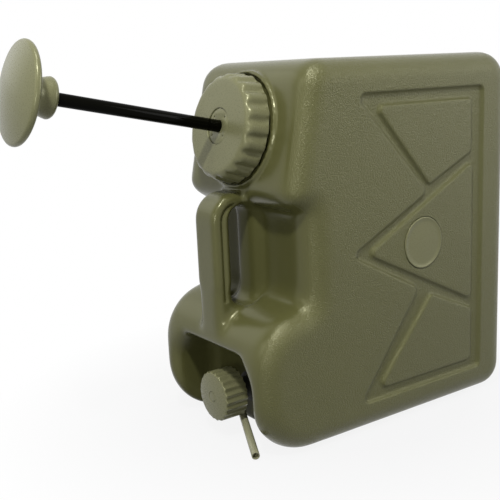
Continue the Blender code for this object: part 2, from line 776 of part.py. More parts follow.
def handle_body(profile, look, pump_axis):
    """The handle's profile reaches the axis twice, at its crown and at the foot of its blind socket."""
    crown = [point for point in profile if point[1] > ROD_END + FIT * 2 or point[0] > ROD_RADIUS + FIT * 2]
    crown = [(0, HUB_END)] + crown
    handle = turned("pump_handle", crown, look, pump_axis, segments=32)
    socket = rod("handle_socket", ROD_RADIUS + FIT, HUB_END - OVERLAP, ROD_END + FIT, parent=pump_axis)
    boolean(handle, cutter(socket))


def build_tap_body(looks, tap_axis):
    flange_low = FIT + TAP_GASKET_THICKNESS + FIT
    flange_high = flange_low + TAP_FLANGE
    profile = [
        (0, -TAP_SHANK_REACH), (TAP_SHANK, -TAP_SHANK_REACH), (TAP_SHANK, flange_low),
        (TAP_FLANGE_RADIUS, flange_low), (TAP_FLANGE_RADIUS, flange_high), (TAP_BARREL, flange_high),
        (TAP_BARREL, TAP_LENGTH), (0, TAP_LENGTH),
    ]
    body = turned("tap_body", profile, looks["black_plastic"], tap_axis)
    spout_frame = empty_at("spout_frame", (0.0, 0.0, SPOUT_PLACE), 0.0)
    spout_frame.parent = tap_axis
    spout_frame.rotation_euler = (math.pi / 2, 0.0, 0.0)
    spout = rod("spout_solid", SPOUT_RADIUS, 0.0, SPOUT_LENGTH, parent=spout_frame)
    boolean(body, cutter(spout), "UNION")
    chamber = turned(
        "tap_chamber",
        [
            (0, -TAP_SHANK_REACH - OVERLAP), (TAP_INLET, -TAP_SHANK_REACH - OVERLAP),
            (TAP_INLET, SEAT_PLACE), (TAP_CHAMBER, SEAT_PLACE),
            (TAP_CHAMBER, TAP_LENGTH + OVERLAP), (0, TAP_LENGTH + OVERLAP),
        ],
        parent=tap_axis, segments=SMALL_CIRCLE,
    )
    boolean(body, cutter(chamber))
    socket_from = SPOUT_LENGTH - TUBE_SOCKET
    channel = turned(
        "spout_channel",
        [
            (0, 0.0), (TUBE_RADIUS - TUBE_WALL, 0.0), (TUBE_RADIUS - TUBE_WALL, socket_from),
            (TUBE_RADIUS + FIT, socket_from), (TUBE_RADIUS + FIT, SPOUT_LENGTH + OVERLAP),
            (0, SPOUT_LENGTH + OVERLAP),
        ],
        parent=spout_frame, segments=SMALL_CIRCLE,
    )
    boolean(body, cutter(channel))

    tube = loft("spout_tube", tube_rings(TUBE_RADIUS, 0.0), look=looks["tube"], parent=tap_axis)
    boolean(tube, cutter(loft("tube_bore", tube_rings(TUBE_RADIUS - TUBE_WALL, OVERLAP), parent=tap_axis)))
    washer(
        "tap_wall_gasket", TAP_SHANK + FIT, TAP_FLANGE_RADIUS - 0.001, FIT, FIT + TAP_GASKET_THICKNESS,
        look=looks["rubber"], parent=tap_axis,
    )
    nut_high = -WALL - FIT
    hex_nut(
        "tap_lock_nut", TAP_SHANK + FIT, LOCK_NUT_RADIUS, nut_high - LOCK_NUT_THICKNESS, nut_high,
        look=looks["black_plastic"], parent=tap_axis,
    )


def tube_rings(radius, beyond):
    """Rings of the outlet tube in the tap's frame: down out of the spout, round a bend and on to its end."""
    mouth = Vector((0.0, -SPOUT_LENGTH, SPOUT_PLACE))
    end = Vector((TUBE_END_SIDE, TUBE_FLOOR_GAP + TUBE_RADIUS - TAP_HEIGHT, TUBE_END_OUT))
    down = Vector((0.0, -1.0, 0.0))
    drop = mouth.y - end.y
    away = Vector((end.x - mouth.x, 0.0, end.z - mouth.z))
    level = away.normalized()
    across = level.cross(down)
    straight = math.hypot(away.length - TUBE_BEND, drop)
    bend = math.atan2(away.length - TUBE_BEND, drop) + math.asin(TUBE_BEND / straight)
    places = [(mouth - down * (TUBE_SOCKET - FIT + beyond), down)]
    for step in range(TUBE_BEND_STEPS + 1):
        angle = bend * step / TUBE_BEND_STEPS
        place = mouth + level * TUBE_BEND * (1 - math.cos(angle)) + down * TUBE_BEND * math.sin(angle)
        places.append((place, level * math.sin(angle) + down * math.cos(angle)))
    along = places[-1][1]
    places.append((end + along * beyond, along))
    rings = []
    for place, along in places:
        upward = along.cross(across)
        ring = []
        for step in range(TUBE_SIDES):
            angle = 2 * math.pi * step / TUBE_SIDES
            ring.append(tuple(place + (across * math.cos(angle) + upward * math.sin(angle)) * radius))
        rings.append(ring)
    return rings


def build_tap_valve(looks, tap_axis):
    washer_low = SEAT_PLACE + FIT
    washer_high = washer_low + TAP_WASHER_THICKNESS
    rod("tap_washer", TAP_WASHER_RADIUS, washer_low, washer_high, look=looks["rubber"], parent=tap_axis)
    profile = [
        (0, SPINDLE_FOOT_LOW), (SPINDLE_FOOT, SPINDLE_FOOT_LOW), (SPINDLE_FOOT, SPINDLE_FOOT_HIGH),
        (SPINDLE_RADIUS, SPINDLE_FOOT_HIGH),
        (SPINDLE_RADIUS, SPINDLE_END), (0, SPINDLE_END),
    ]
    turned("tap_spindle", profile, looks["brass"], tap_axis, segments=SMALL_CIRCLE)

    bore = SPINDLE_RADIUS + FIT
    plug_low = TAP_LENGTH - BONNET_REACH
    ring_low = TAP_LENGTH - (BONNET_REACH + O_RING_HEIGHT) / 2
    ring_high = ring_low + O_RING_HEIGHT
    groove = bore + O_RING_DEPTH
    plug = TAP_CHAMBER - FIT
    profile = [
        (bore, plug_low), (plug, plug_low), (plug, TAP_LENGTH + FIT), (TAP_BARREL, TAP_LENGTH + FIT),
        (TAP_BARREL, TAP_LENGTH + FIT + BONNET_FLANGE), (bore, TAP_LENGTH + FIT + BONNET_FLANGE),
        (bore, ring_high + FIT), (groove, ring_high + FIT), (groove, ring_low - FIT), (bore, ring_low - FIT),
    ]
    turned("tap_bonnet", profile, looks["black_plastic"], tap_axis)
    washer(
        "spindle_o_ring", bore, groove - FIT, ring_low, ring_high,
        segments=SMALL_CIRCLE, look=looks["rubber"], parent=tap_axis,
    )


def knob_ribs(radius, height, angle):
    if radius < KNOB_RADIUS - KNOB_WALL / 2:
        return radius
    return radius - KNOB_RIB_DEPTH * (0.5 - 0.5 * math.cos(KNOB_RIBS * angle))


def build_knob(looks, tap_axis):
    edge = 0.0020
    inner = KNOB_RADIUS - KNOB_WALL
    web = KNOB_FRONT - KNOB_WALL - 0.001
    bore = SPINDLE_RADIUS + FIT
    bore_end = SPINDLE_END + SPINDLE_TRAVEL + FIT
    seat = KNOB_FRONT + KNOB_DOME - INSERT_DEPTH - FIT
    profile = [(inner, KNOB_BACK), (KNOB_RADIUS, KNOB_BACK), (KNOB_RADIUS, KNOB_FRONT - edge)]
    profile += arc(KNOB_RADIUS - edge, KNOB_FRONT - edge, edge, 30, 90, 2)
    profile += [
        ((KNOB_RADIUS - edge) * 0.6, KNOB_FRONT + KNOB_DOME * 0.7),
        (INSERT_RADIUS + FIT, KNOB_FRONT + KNOB_DOME), (INSERT_RADIUS + FIT, seat), (0, seat),
    ]
    outside = [(0, KNOB_BACK)] + profile[1:]
    knob = turned("tap_knob", outside, looks["light_olive"], tap_axis, segments=KNOB_RIBS * 4, wave=knob_ribs)
    hollow = washer("knob_hollow", KNOB_HUB, inner, KNOB_BACK - OVERLAP, web, parent=tap_axis)
    boolean(knob, cutter(hollow))
    socket = rod("knob_socket", bore, KNOB_BACK - OVERLAP * 2, bore_end, parent=tap_axis)
    boolean(knob, cutter(socket))
    rod(
        "knob_insert", INSERT_RADIUS, seat + FIT, KNOB_FRONT + KNOB_DOME, segments=32,
        look=looks["light_olive"], parent=tap_axis,
    )


def build_filter(looks, tap_axis):
    """The cartridge screws onto the shank inside the can: collar, cage, foam sleeve, core and end cap."""
    neck_start = -WALL - LOCK_NUT_THICKNESS - FIT * 2
    seal_high = -TAP_SHANK_REACH - FIT
    seal_low = seal_high - O_RING_HEIGHT
    floor = seal_low - FIT
    collar_foot = floor - COLLAR_FLANGE
    bore = TAP_SHANK + FIT
    profile = [
        (TAP_INLET, collar_foot), (CARTRIDGE_RADIUS, collar_foot), (CARTRIDGE_RADIUS, floor),
        (COLLAR_NECK_RADIUS, floor + 0.001), (COLLAR_NECK_RADIUS, neck_start), (bore, neck_start),
        (bore, floor), (TAP_INLET, floor),
    ]
    turned("filter_collar", profile, looks["white_plastic"], tap_axis)
    washer(
        "filter_o_ring", TAP_SHANK - 0.003, TAP_SHANK, seal_low, seal_high,
        look=looks["rubber"], parent=tap_axis,
    )
    cage_high = collar_foot - FIT
    cage_low = cage_high - CARTRIDGE_LENGTH
    cage_bore = CARTRIDGE_RADIUS - CAGE_WALL
    cage = washer(
        "filter_cage", cage_bore, CARTRIDGE_RADIUS, cage_low, cage_high,
        look=looks["white_plastic"], parent=tap_axis,
    )
    pitch = CARTRIDGE_LENGTH / CAGE_ROWS
    for row in range(CAGE_ROWS):
        for column in range(CAGE_COLUMNS // 2):
            angle = math.pi * 2 * column / CAGE_COLUMNS
            slot = slot_cutter(
                "cage_slot_" + str(row + 1) + "_" + str(column + 1),
                cage_low + pitch * (row + 0.5), angle, tap_axis,
            )
            boolean(cage, slot)
    sleeve_radius = cage_bore - FIT
    core_radius = sleeve_radius - SLEEVE_THICKNESS - FIT
    washer(
        "prefilter_sleeve", core_radius + FIT, sleeve_radius, cage_low + FIT, cage_high - FIT,
        look=looks["foam"], parent=tap_axis,
    )
    rod(
        "filter_core", core_radius, cage_low + FIT, cage_high - FIT, segments=32,
        look=looks["white_plastic"], parent=tap_axis,
    )
    cap_top = cage_low - FIT
    cap_low = cap_top - END_CAP_THICKNESS
    edge = 0.0020
    profile = [
        (0, cap_low - 0.003), (0.012, cap_low - 0.003), (0.013, cap_low), (CARTRIDGE_RADIUS - edge, cap_low),
        (CARTRIDGE_RADIUS, cap_low + edge), (CARTRIDGE_RADIUS, cap_top), (0, cap_top),
    ]
    turned("filter_end_cap", profile, looks["white_plastic"], tap_axis)


def slot_cutter(name, place, angle, parent):
    """A long slot through both walls of the cage, so that each cutter makes an opposite pair."""
    reach = CARTRIDGE_RADIUS + OVERLAP
    half = CAGE_SLOT_LENGTH / 2
    wide = CAGE_SLOT_WIDTH / 2
    radius = wide * SLOT_ROUNDING
    corners = ((-wide, -half, radius), (wide, -half, radius), (wide, half, radius), (-wide, half, radius))
    rings = []
    for x in (-reach, reach):
        rings.append([(x, u, v) for u, v in rounded_outline(corners, 0.0, 1)])
    slot = loft(name, rings, parent=parent)
    slot.location = (0.0, 0.0, place)
    slot.rotation_euler = (0.0, 0.0, angle)
    return cutter(slot)


def make_looks():
    return {
        "olive": material("olive_can", OLIVE, 0.48),
        "light_olive": material("light_olive", LIGHT_OLIVE, 0.42),
        "black_gloss": material("black_rod", (0.006, 0.006, 0.005, 1.0), 0.12),
        "black_plastic": material("black_plastic", (0.020, 0.020, 0.016, 1.0), 0.45),
        "rubber": material("black_rubber", (0.015, 0.015, 0.015, 1.0), 0.75),
        "tube": material("olive_tube", (0.300, 0.290, 0.180, 1.0), 0.30),
        "clear_plastic": material("natural_plastic", (0.620, 0.620, 0.560, 1.0), 0.35),
        "white_plastic": material("white_plastic", (0.700, 0.700, 0.680, 1.0), 0.40),
        "foam": material("blue_foam", (0.080, 0.140, 0.220, 1.0), 0.90),
        "steel": material("steel", (0.560, 0.560, 0.560, 1.0), 0.30, 1.0),
        "brass": material("brass", (0.600, 0.430, 0.180, 1.0), 0.30, 1.0),
    }


def main():
    clear_scene()
    looks = make_looks()
    pump_axis = empty_at("pump_axis", FACE_POINT, math.pi / 2 - LEAN)
    tap_axis = empty_at("tap_axis", (0.0, RECESS_WALL_Y, TAP_HEIGHT), math.pi / 2)
    build_can(looks["olive"], pump_axis, tap_axis)
    build_badge(looks["light_olive"])
    build_cap(looks, pump_axis)
    build_gland(looks, pump_axis)
    build_barrel(looks, pump_axis)
    build_plunger(looks, pump_axis)
    build_tap_body(looks, tap_axis)
    build_tap_valve(looks, tap_axis)
    build_knob(looks, tap_axis)
    build_filter(looks, tap_axis)


main()
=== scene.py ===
"""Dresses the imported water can: smooth moulded shells, turned fittings, their plastics and a studio."""

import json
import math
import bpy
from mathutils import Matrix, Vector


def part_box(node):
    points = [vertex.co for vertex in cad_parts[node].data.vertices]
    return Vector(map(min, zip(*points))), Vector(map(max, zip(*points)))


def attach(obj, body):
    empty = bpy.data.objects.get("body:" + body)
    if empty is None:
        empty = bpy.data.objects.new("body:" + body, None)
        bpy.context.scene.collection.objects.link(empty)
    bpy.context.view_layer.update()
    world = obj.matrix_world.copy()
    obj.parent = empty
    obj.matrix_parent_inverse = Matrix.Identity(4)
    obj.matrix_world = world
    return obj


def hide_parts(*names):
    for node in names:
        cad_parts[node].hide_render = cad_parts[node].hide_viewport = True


bl_info = {
    "name": "Water Can",
    "version": (1, 0, 0),
    "blender": (4, 5, 0),
    "location": "View3D > Sidebar > Water Can",
    "description": "Smooth shells, turned fittings and moulded plastics for a hand-pumped water can",
    "category": "Object",
}

import bmesh
import bpy
from bpy.props import FloatProperty, FloatVectorProperty, IntProperty, PointerProperty
from mathutils import Matrix, Vector

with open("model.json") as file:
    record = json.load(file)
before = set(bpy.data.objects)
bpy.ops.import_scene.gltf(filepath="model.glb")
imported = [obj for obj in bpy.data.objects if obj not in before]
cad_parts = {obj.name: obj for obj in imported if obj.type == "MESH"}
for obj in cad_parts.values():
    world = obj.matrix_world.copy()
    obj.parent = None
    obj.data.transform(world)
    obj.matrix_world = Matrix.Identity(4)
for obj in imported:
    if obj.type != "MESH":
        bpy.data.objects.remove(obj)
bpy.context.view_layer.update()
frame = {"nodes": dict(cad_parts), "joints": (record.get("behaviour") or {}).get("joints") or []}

# Clearance between pieces that fit in one another
FIT = 0.0003


# Places read from the frame


def joint(name):
    """The frame's joint of that name."""
    return next(row for row in frame["joints"] if row["name"] == name)


def node_size(node):
    """A node's size along X, Y and Z."""
    low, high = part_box(node)
    return high - low


def axis_frame(origin, axis):
    """A frame at origin whose Z runs along axis and whose X stays level, so Y leans up."""
    along = Vector(axis).normalized()
    level = Vector((1.0, 0.0, 0.0))
    up = along.cross(level).normalized()
    turn = Matrix((level, up, along)).transposed().to_4x4()
    return Matrix.Translation(Vector(origin)) @ turn


CAN_LOW, CAN_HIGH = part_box("can_body")
CAN_SIZE = CAN_HIGH - CAN_LOW
FRONT_Y = CAN_LOW.y
PUMP_ORIGIN = joint("cap_turn")["pos_m"]
PUMP_AXIS = joint("cap_turn")["axis"]
TAP_ORIGIN = joint("tap_turn")["pos_m"]
TAP_AXIS = joint("tap_turn")["axis"]
PUMP_FRAME = axis_frame(PUMP_ORIGIN, PUMP_AXIS)
TAP_FRAME = axis_frame(TAP_ORIGIN, TAP_AXIS)
LEAN = math.asin(PUMP_AXIS[2])


def reach_along(node, frame_matrix):
    """(lowest, highest) place of a node's points along a frame's Z."""
    inverse = frame_matrix.inverted()
    heights = [(inverse @ vertex.co).z for vertex in frame["nodes"][node].data.vertices]
    return min(heights), max(heights)


CAP_FOOT, CAP_TOP = reach_along("main_cap", PUMP_FRAME)
HUB_END, HANDLE_CROWN = reach_along("pump_handle", PUMP_FRAME)
NECK_TOP = reach_along("cap_gasket", PUMP_FRAME)[0] - FIT
GLAND_TOP = reach_along("rod_gland", PUMP_FRAME)[1]
KNOB_BACK, KNOB_CROWN = reach_along("tap_knob", TAP_FRAME)


# Sizes and colours that a user may change


class CanShell(bpy.types.PropertyGroup):
    rim: FloatProperty(
        name="Rim", description="Radius of the rounding along both sides", default=0.024, unit="LENGTH"
    )
    corner: FloatProperty(
        name="Corner", description="Radius of the outline's large corners", default=0.030, unit="LENGTH"
    )
    shoulder: FloatProperty(
        name="Shoulder", description="Radius of the shoulder's front corner", default=0.060, unit="LENGTH"
    )
    foot: FloatProperty(
        name="Foot", description="Radius of the lower front corner", default=0.065, unit="LENGTH"
    )
    chin: FloatProperty(
        name="Chin", description="Radius of the corner above the grip", default=0.018, unit="LENGTH"
    )
    side_wall: FloatProperty(
        name="Side wall", description="Thickness of the sides", default=0.006, unit="LENGTH"
    )
    wall: FloatProperty(
        name="Wall", description="Thickness of the other walls", default=0.0065, unit="LENGTH"
    )
    voxel: FloatProperty(
        name="Skin detail", description="Size of the skin's facets", default=0.0015, unit="LENGTH"
    )
    blend: IntProperty(
        name="Blend", description="Passes that round the moulded edges", default=60, min=0
    )
    channel_depth: FloatProperty(
        name="Channel depth", description="Depth of the side channels", default=0.0034, unit="LENGTH"
    )


class Fittings(bpy.types.PropertyGroup):
    cap_scallops: IntProperty(name="Cap scallops", description="Finger scallops round the cap", default=20)
    scallop_depth: FloatProperty(
        name="Scallop depth", description="How far each scallop dips", default=0.0030, unit="LENGTH"
    )
    knob_ribs: IntProperty(name="Knob ribs", description="Ribs round the tap's knob", default=22)
    rib_depth: FloatProperty(
        name="Rib depth", description="Height of the knob's ribs", default=0.0017, unit="LENGTH"
    )
    edge: FloatProperty(
        name="Edge", description="Rounding of the small fittings' edges", default=0.0004, unit="LENGTH"
    )


class Plastics(bpy.types.PropertyGroup):
    can: FloatVectorProperty(
        name="Can", description="Colour of the moulded can", subtype="COLOR", size=4,
        min=0, max=1, default=(0.079, 0.0784, 0.0270, 1.0),
    )
    fitting: FloatVectorProperty(
        name="Fittings", description="Colour of the cap, handle, badge and knob", subtype="COLOR", size=4,
        min=0, max=1, default=(0.145, 0.144, 0.072, 1.0),
    )
    tube: FloatVectorProperty(
        name="Tube", description="Colour of the outlet tube", subtype="COLOR", size=4,
        min=0, max=1, default=(0.330, 0.325, 0.200, 1.0),
    )
    grain: FloatProperty(
        name="Grain", description="Depth of the moulded grain on the sides", default=0.00017, unit="LENGTH"
    )
    gloss: FloatVectorProperty(
        name="Gloss", description="Tint of the reflections on the olive plastics", subtype="COLOR", size=4,
        min=0, max=1, default=(1.0, 0.99, 0.66, 1.0),
    )
    shine: FloatProperty(
        name="Shine", description="Strength of the reflections on the olive plastics",
        default=0.44, min=0, max=1,
    )


class Studio(bpy.types.PropertyGroup):
    lens: FloatProperty(name="Lens", description="Focal length", default=60.75, unit="CAMERA")
    yaw: FloatProperty(
        name="Yaw", description="Turn of the camera round the can",
        default=math.radians(55.533), unit="ROTATION",
    )
    pitch: FloatProperty(
        name="Pitch", description="Downward tilt of the camera",
        default=math.radians(12.161), unit="ROTATION",
    )
    roll: FloatProperty(
        name="Roll", description="Tilt of the picture", default=math.radians(-2.585), unit="ROTATION"
    )
    place: FloatVectorProperty(
        name="Place", description="Where the camera stands", subtype="TRANSLATION", unit="LENGTH",
        size=3, default=(0.73788, -0.63018, 0.39172),
    )
    high: FloatProperty(name="High", description="Power of the small high lamp", default=18.0, unit="POWER")
    top: FloatProperty(name="Top", description="Power of the lamp above", default=5.5, unit="POWER")
    low: FloatProperty(name="Low", description="Power of the small low lamp", default=4.6, unit="POWER")
    wide: FloatProperty(name="Wide", description="Power of the wide front lamp", default=3.0, unit="POWER")
    rear: FloatProperty(name="Rear", description="Power of the rear right lamp", default=11.5, unit="POWER")
    left: FloatProperty(name="Left", description="Power of the lamp on the left", default=1.0, unit="POWER")
    back: FloatProperty(name="Back", description="Power of the lamp behind", default=0.6, unit="POWER")
    sky: FloatProperty(name="Sky", description="Strength of the light from all round", default=0.02)


# Modelling by hand


def deselect():
    if bpy.context.mode != "OBJECT":
        bpy.ops.object.mode_set(mode="OBJECT")
    bpy.ops.object.select_all(action="DESELECT")


def only(piece):
    """Makes a piece the one that is active and selected."""
    deselect()
    piece.select_set(True)
    bpy.context.view_layer.objects.active = piece


def edit(piece):
    only(piece)
    bpy.ops.object.mode_set(mode="EDIT")


def done():
    bpy.ops.object.mode_set(mode="OBJECT")


def place_ring(piece, ring):
    """Moves the selected ring's points to their places in order."""
    mesh = bmesh.from_edit_mesh(piece.data)
    order = mesh.verts.layers.int["order"]
    for vertex in mesh.verts:
        if vertex.select:
            vertex.co = ring[vertex[order]]
    bmesh.update_edit_mesh(piece.data)


def face_outwards(piece):
    """Turns all faces of the closed body in edit mode outwards."""
    bpy.ops.mesh.select_all(action="SELECT")
    bpy.ops.mesh.normals_make_consistent(inside=False)
    if bmesh.from_edit_mesh(piece.data).calc_volume(signed=True) < 0:
        bpy.ops.mesh.flip_normals()


def lofted(name, rings):
    """Fills a ring of points and extrudes it from ring to ring into a closed body."""
    deselect()
    bpy.ops.mesh.primitive_circle_add(vertices=len(rings[0]), radius=1, fill_type="NOTHING")
    piece = bpy.context.active_object
    piece.name = name
    edit(piece)
    mesh = bmesh.from_edit_mesh(piece.data)
    order = mesh.verts.layers.int.new("order")
    for index, vertex in enumerate(mesh.verts):
        vertex[order] = index
    bmesh.update_edit_mesh(piece.data)
    bpy.ops.mesh.select_all(action="SELECT")
    bpy.ops.mesh.edge_face_add()
    place_ring(piece, rings[0])
    for ring in rings[1:]:
        bpy.ops.mesh.extrude_region_move()
        place_ring(piece, ring)
    face_outwards(piece)
    done()
    return piece


def turned(name, profile, matrix, steps=96, closed=True, wave=None):
    """Draws a half-section in the XZ plane, spins it about Z into a closed body and seats that."""
    deselect()
    bpy.ops.mesh.primitive_plane_add(size=0.001)
    piece = bpy.context.active_object
    piece.name = name
    edit(piece)
    bpy.ops.mesh.select_all(action="SELECT")
    bpy.ops.mesh.merge(type="CENTER")
    points = [Vector((radius, 0.0, height)) for radius, height in profile]
    if closed:
        points.append(points[0])
    bpy.ops.transform.translate(value=points[0])
    for before, after in zip(points, points[1:]):
        bpy.ops.mesh.extrude_vertices_move(TRANSFORM_OT_translate={"value": after - before})
    bpy.ops.mesh.select_all(action="SELECT")
    bpy.ops.mesh.spin(steps=steps, angle=math.tau, center=(0, 0, 0), axis=(0, 0, 1))
    bpy.ops.mesh.select_all(action="SELECT")
    bpy.ops.mesh.remove_doubles(threshold=0.00001)
    face_outwards(piece)
    done()
    if wave:
        for vertex in piece.data.vertices:
            radius = math.hypot(vertex.co.x, vertex.co.y)
            if radius > 0:
                share = wave(radius, vertex.co.z, math.atan2(vertex.co.y, vertex.co.x)) / radius
                vertex.co.x *= share
                vertex.co.y *= share
    seat(piece, matrix)
    return piece


def seat(piece, matrix):
    """Places a piece and then bakes its place into its mesh."""
    only(piece)
    piece.matrix_world = matrix @ piece.matrix_world
    bpy.context.view_layer.update()
    bpy.ops.object.transform_apply(location=True, rotation=True, scale=True)


def add_modifier(piece, kind, **settings):
    """Gives a piece a modifier with these settings and applies it."""
    modifier = piece.modifiers.new(kind.title(), kind)
    for key, value in settings.items():
        setattr(modifier, key, value)
    only(piece)
    bpy.ops.object.modifier_apply(modifier=modifier.name)


def cut(piece, tool, operation="DIFFERENCE"):
    """Cuts a tool out of a piece, or joins it on, and throws the tool away."""
    add_modifier(piece, "BOOLEAN", operation=operation, solver="EXACT", object=tool)
    bpy.data.objects.remove(tool)


def smooth(piece, angle=40.0):
    """Shades a piece smooth, but for edges that turn by more than the angle in degrees."""
    only(piece)
    bpy.ops.object.shade_smooth_by_angle(angle=math.radians(angle))


def hand_over(piece, material, body, slot, *nodes):
    """Gives a piece its finish, hangs it on its body's empty and hides the frame's parts that it takes the
    place of.
    """
    piece.data.materials.clear()
    piece.data.materials.append(material)
    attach(piece, body)
    if nodes:
        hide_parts(*nodes)
    deselect()


def arc(centre_radius, centre_height, radius, start, end, steps=6):
    """Points of a round edge in a half-section, from one angle to another in degrees."""
    points = []
    for step in range(steps + 1):
        angle = math.radians(start + (end - start) * step / steps)
        points.append((centre_radius + radius * math.cos(angle), centre_height + radius * math.sin(angle)))
    return points


# Share of its radius that an outward corner keeps at least when its outline is moved in
LEAST_RADIUS = 0.3
# Share of the inset by which the radius of an inward corner grows
HOLLOW_GROWTH = 0.5


def rounded_outline(corners, inset=0.0, steps=10):
    """Points of a closed outline whose corners (u, v, radius) run anticlockwise, moved in by inset."""
    points = []
    count = len(corners)
    for index in range(count):
        before = Vector(corners[index - 1][:2])
        here = Vector(corners[index][:2])
        after = Vector(corners[(index + 1) % count][:2])
        along_in = (here - before).normalized()
        along_out = (after - here).normalized()
        normal_in = Vector((-along_in.y, along_in.x))
        normal_out = Vector((-along_out.y, along_out.x))
        convex = along_in.x * along_out.y - along_in.y * along_out.x > 0
        bend = along_in.angle(along_out)
        drawn = corners[index][2]
        if convex:
            radius = max(drawn - inset, drawn * LEAST_RADIUS)
        else:
            radius = drawn + inset * HOLLOW_GROWTH
        moved = here + (normal_in + normal_out) * (inset / (1 + normal_in.dot(normal_out)))
        start = moved - along_in * radius * math.tan(bend / 2)
        side = 1 if convex else -1
        centre = start + normal_in * radius * side
        spoke = start - centre
        for step in range(steps + 1):
            angle = side * bend * step / steps
            c, s = math.cos(angle), math.sin(angle)
            points.append(centre + Vector((spoke.x * c - spoke.y * s, spoke.x * s + spoke.y * c)))
    return points


def rim_steps(radius, steps):
    """(distance from the end, inset) pairs round a quarter circle, from the flat end inwards."""
    pairs = []
    for step in range(steps + 1):
        angle = math.pi / 2 * (1 - step / steps)
        pairs.append((radius * (1 - math.sin(angle)), radius * (1 - math.cos(angle))))
    return pairs


def pillow(name, corners, half_width, rim, steps=12, inset=0.0):
    """A side outline drawn out both ways along X, with its rim rounded on both sides."""
    sections = [(distance - half_width, dip + inset) for distance, dip in rim_steps(rim, steps)]
    sections += [(-x, dip) for x, dip in reversed(sections)]
    return lofted(name, [[(x, y, z) for y, z in rounded_outline(corners, dip)] for x, dip in sections])


# The can


CHIN_HEIGHT = 0.252
NOTCH_Y = FRONT_Y + 0.0668
NOTCH_CORNER = 0.010
SHOULDER_CORNER = 0.016
SHOULDER_FRONT = 0.138
SHOULDER_REAR = 0.155
GRIP_Y = FRONT_Y + 0.005
GRIP_WIDTH = 0.040
GRIP_FOOT = SHOULDER_FRONT - 0.030
GRIP_REAR_Y = NOTCH_Y + 0.016
GRIP_TOP = 0.267
GRIP_BEND = 0.028
GRIP_CORNER = 0.010
GRIP_EDGE = 0.006
GRIP_THICKNESS = 0.020
HOLE_FRONT_Y = GRIP_Y + GRIP_THICKNESS
HOLE_WIDTH = 0.030
HOLE_REAR_Y = HOLE_FRONT_Y + HOLE_WIDTH
HOLE_END = HOLE_WIDTH * 0.48
HOLE_TOP = 0.254
HOLE_BOTTOM = 0.146
HOLE_LIP = 0.003
HOLE_REAR_LIP = 0.0105
HOLE_LIP_DEPTHS = (0.0, 0.0004, 0.001, 0.0018, 0.003, 0.0045, 0.0065, HOLE_REAR_LIP)
GROOVE_INSET = 0.0115
GROOVE_BOTTOM = 0.153
GROOVE_RADIUS = 0.0023
GROOVE_BEND_STEPS = 8
GROOVE_SIDES = 12
RECESS_HALF = 0.072
RECESS_TOP_HALF = 0.054
RECESS_FOOT = -0.036
RECESS_LEAN = 0.080
RECESS_TOP = 0.104
RECESS_CORNER = 0.010
RECESS_BEND = 0.030
RECESS_LIP = 0.009
RECESS_LIP_STEPS = 6
RECESS_REAR_EDGE = 0.014
RECESS_REAR_Y = TAP_ORIGIN[1]
CHANNEL_DRAFT = 0.0020
CHANNEL_CORNER = 0.007
ISLAND_CORNER = 0.004
# How far the bodies that cut the channel run past the can's side and the channel's floor
OVERRUN = 0.004
CHANNEL_OUTLINE = (
    (-0.058, 0.364), (0.047, 0.254), (-0.066, 0.199), (0.033, 0.148),
    (-0.056, 0.033), (0.1355, 0.033), (0.1365, 0.364),
)
ISLANDS = (
    ((-0.0265, 0.3495), (0.050, 0.2620), (0.1165, 0.2915), (0.1165, 0.3495)),
    ((-0.0395, 0.1975), (0.1190, 0.1205), (0.1190, 0.2790)),
    ((0.0535, 0.1365), (-0.0265, 0.0465), (0.1190, 0.0465), (0.1190, 0.1080)),
)
BADGE_SEAT_RADIUS = 0.0291
BADGE_SEAT_DEPTH = 0.0019
NECK_BORE = 0.0415
NECK_BORE_REACH = 0.03
TAP_HOLE = 0.0113
TAP_HOLE_REACH = 0.012
# How far the badge's and the tap's drill run outwards
DRILL_OUT = 0.008
# How much coarser the first skin is than the last, and the share of its faces that the last one keeps
FIRST_SKIN = 1.4
FACES_KEPT = 0.26


def face_y(height):
    """Y of the leaning upper face at a height."""
    return PUMP_ORIGIN[1] + (height - PUMP_ORIGIN[2]) * math.tan(LEAN)


def can_corners(shell):
    """The side outline's corners (y, z, radius), from the lower front round by the rear."""
    top = CAN_HIGH.z
    return (
        (FRONT_Y, 0.0, shell.foot),
        (CAN_HIGH.y, 0.0, shell.corner),
        (CAN_HIGH.y, top, shell.corner),
        (face_y(top), top, shell.corner),
        (face_y(CHIN_HEIGHT), CHIN_HEIGHT, shell.chin),
        (NOTCH_Y, CHIN_HEIGHT, NOTCH_CORNER),
        (NOTCH_Y, SHOULDER_REAR, SHOULDER_CORNER),
        (FRONT_Y, SHOULDER_FRONT, shell.shoulder),
    )


def grip_corners():
    """The corners of the grip's block, which runs into the shoulder below and the step behind."""
    return (
        (GRIP_Y, GRIP_FOOT, GRIP_CORNER), (GRIP_REAR_Y, GRIP_FOOT, GRIP_CORNER),
        (GRIP_REAR_Y, GRIP_TOP, GRIP_CORNER), (GRIP_Y, GRIP_TOP, GRIP_BEND),
    )


def flare(depth, radius):
    """How far a lip of that radius has opened at a depth below the surface."""
    share = max(0.0, 1 - depth / radius)
    return radius * (1 - math.sqrt(1 - share * share))


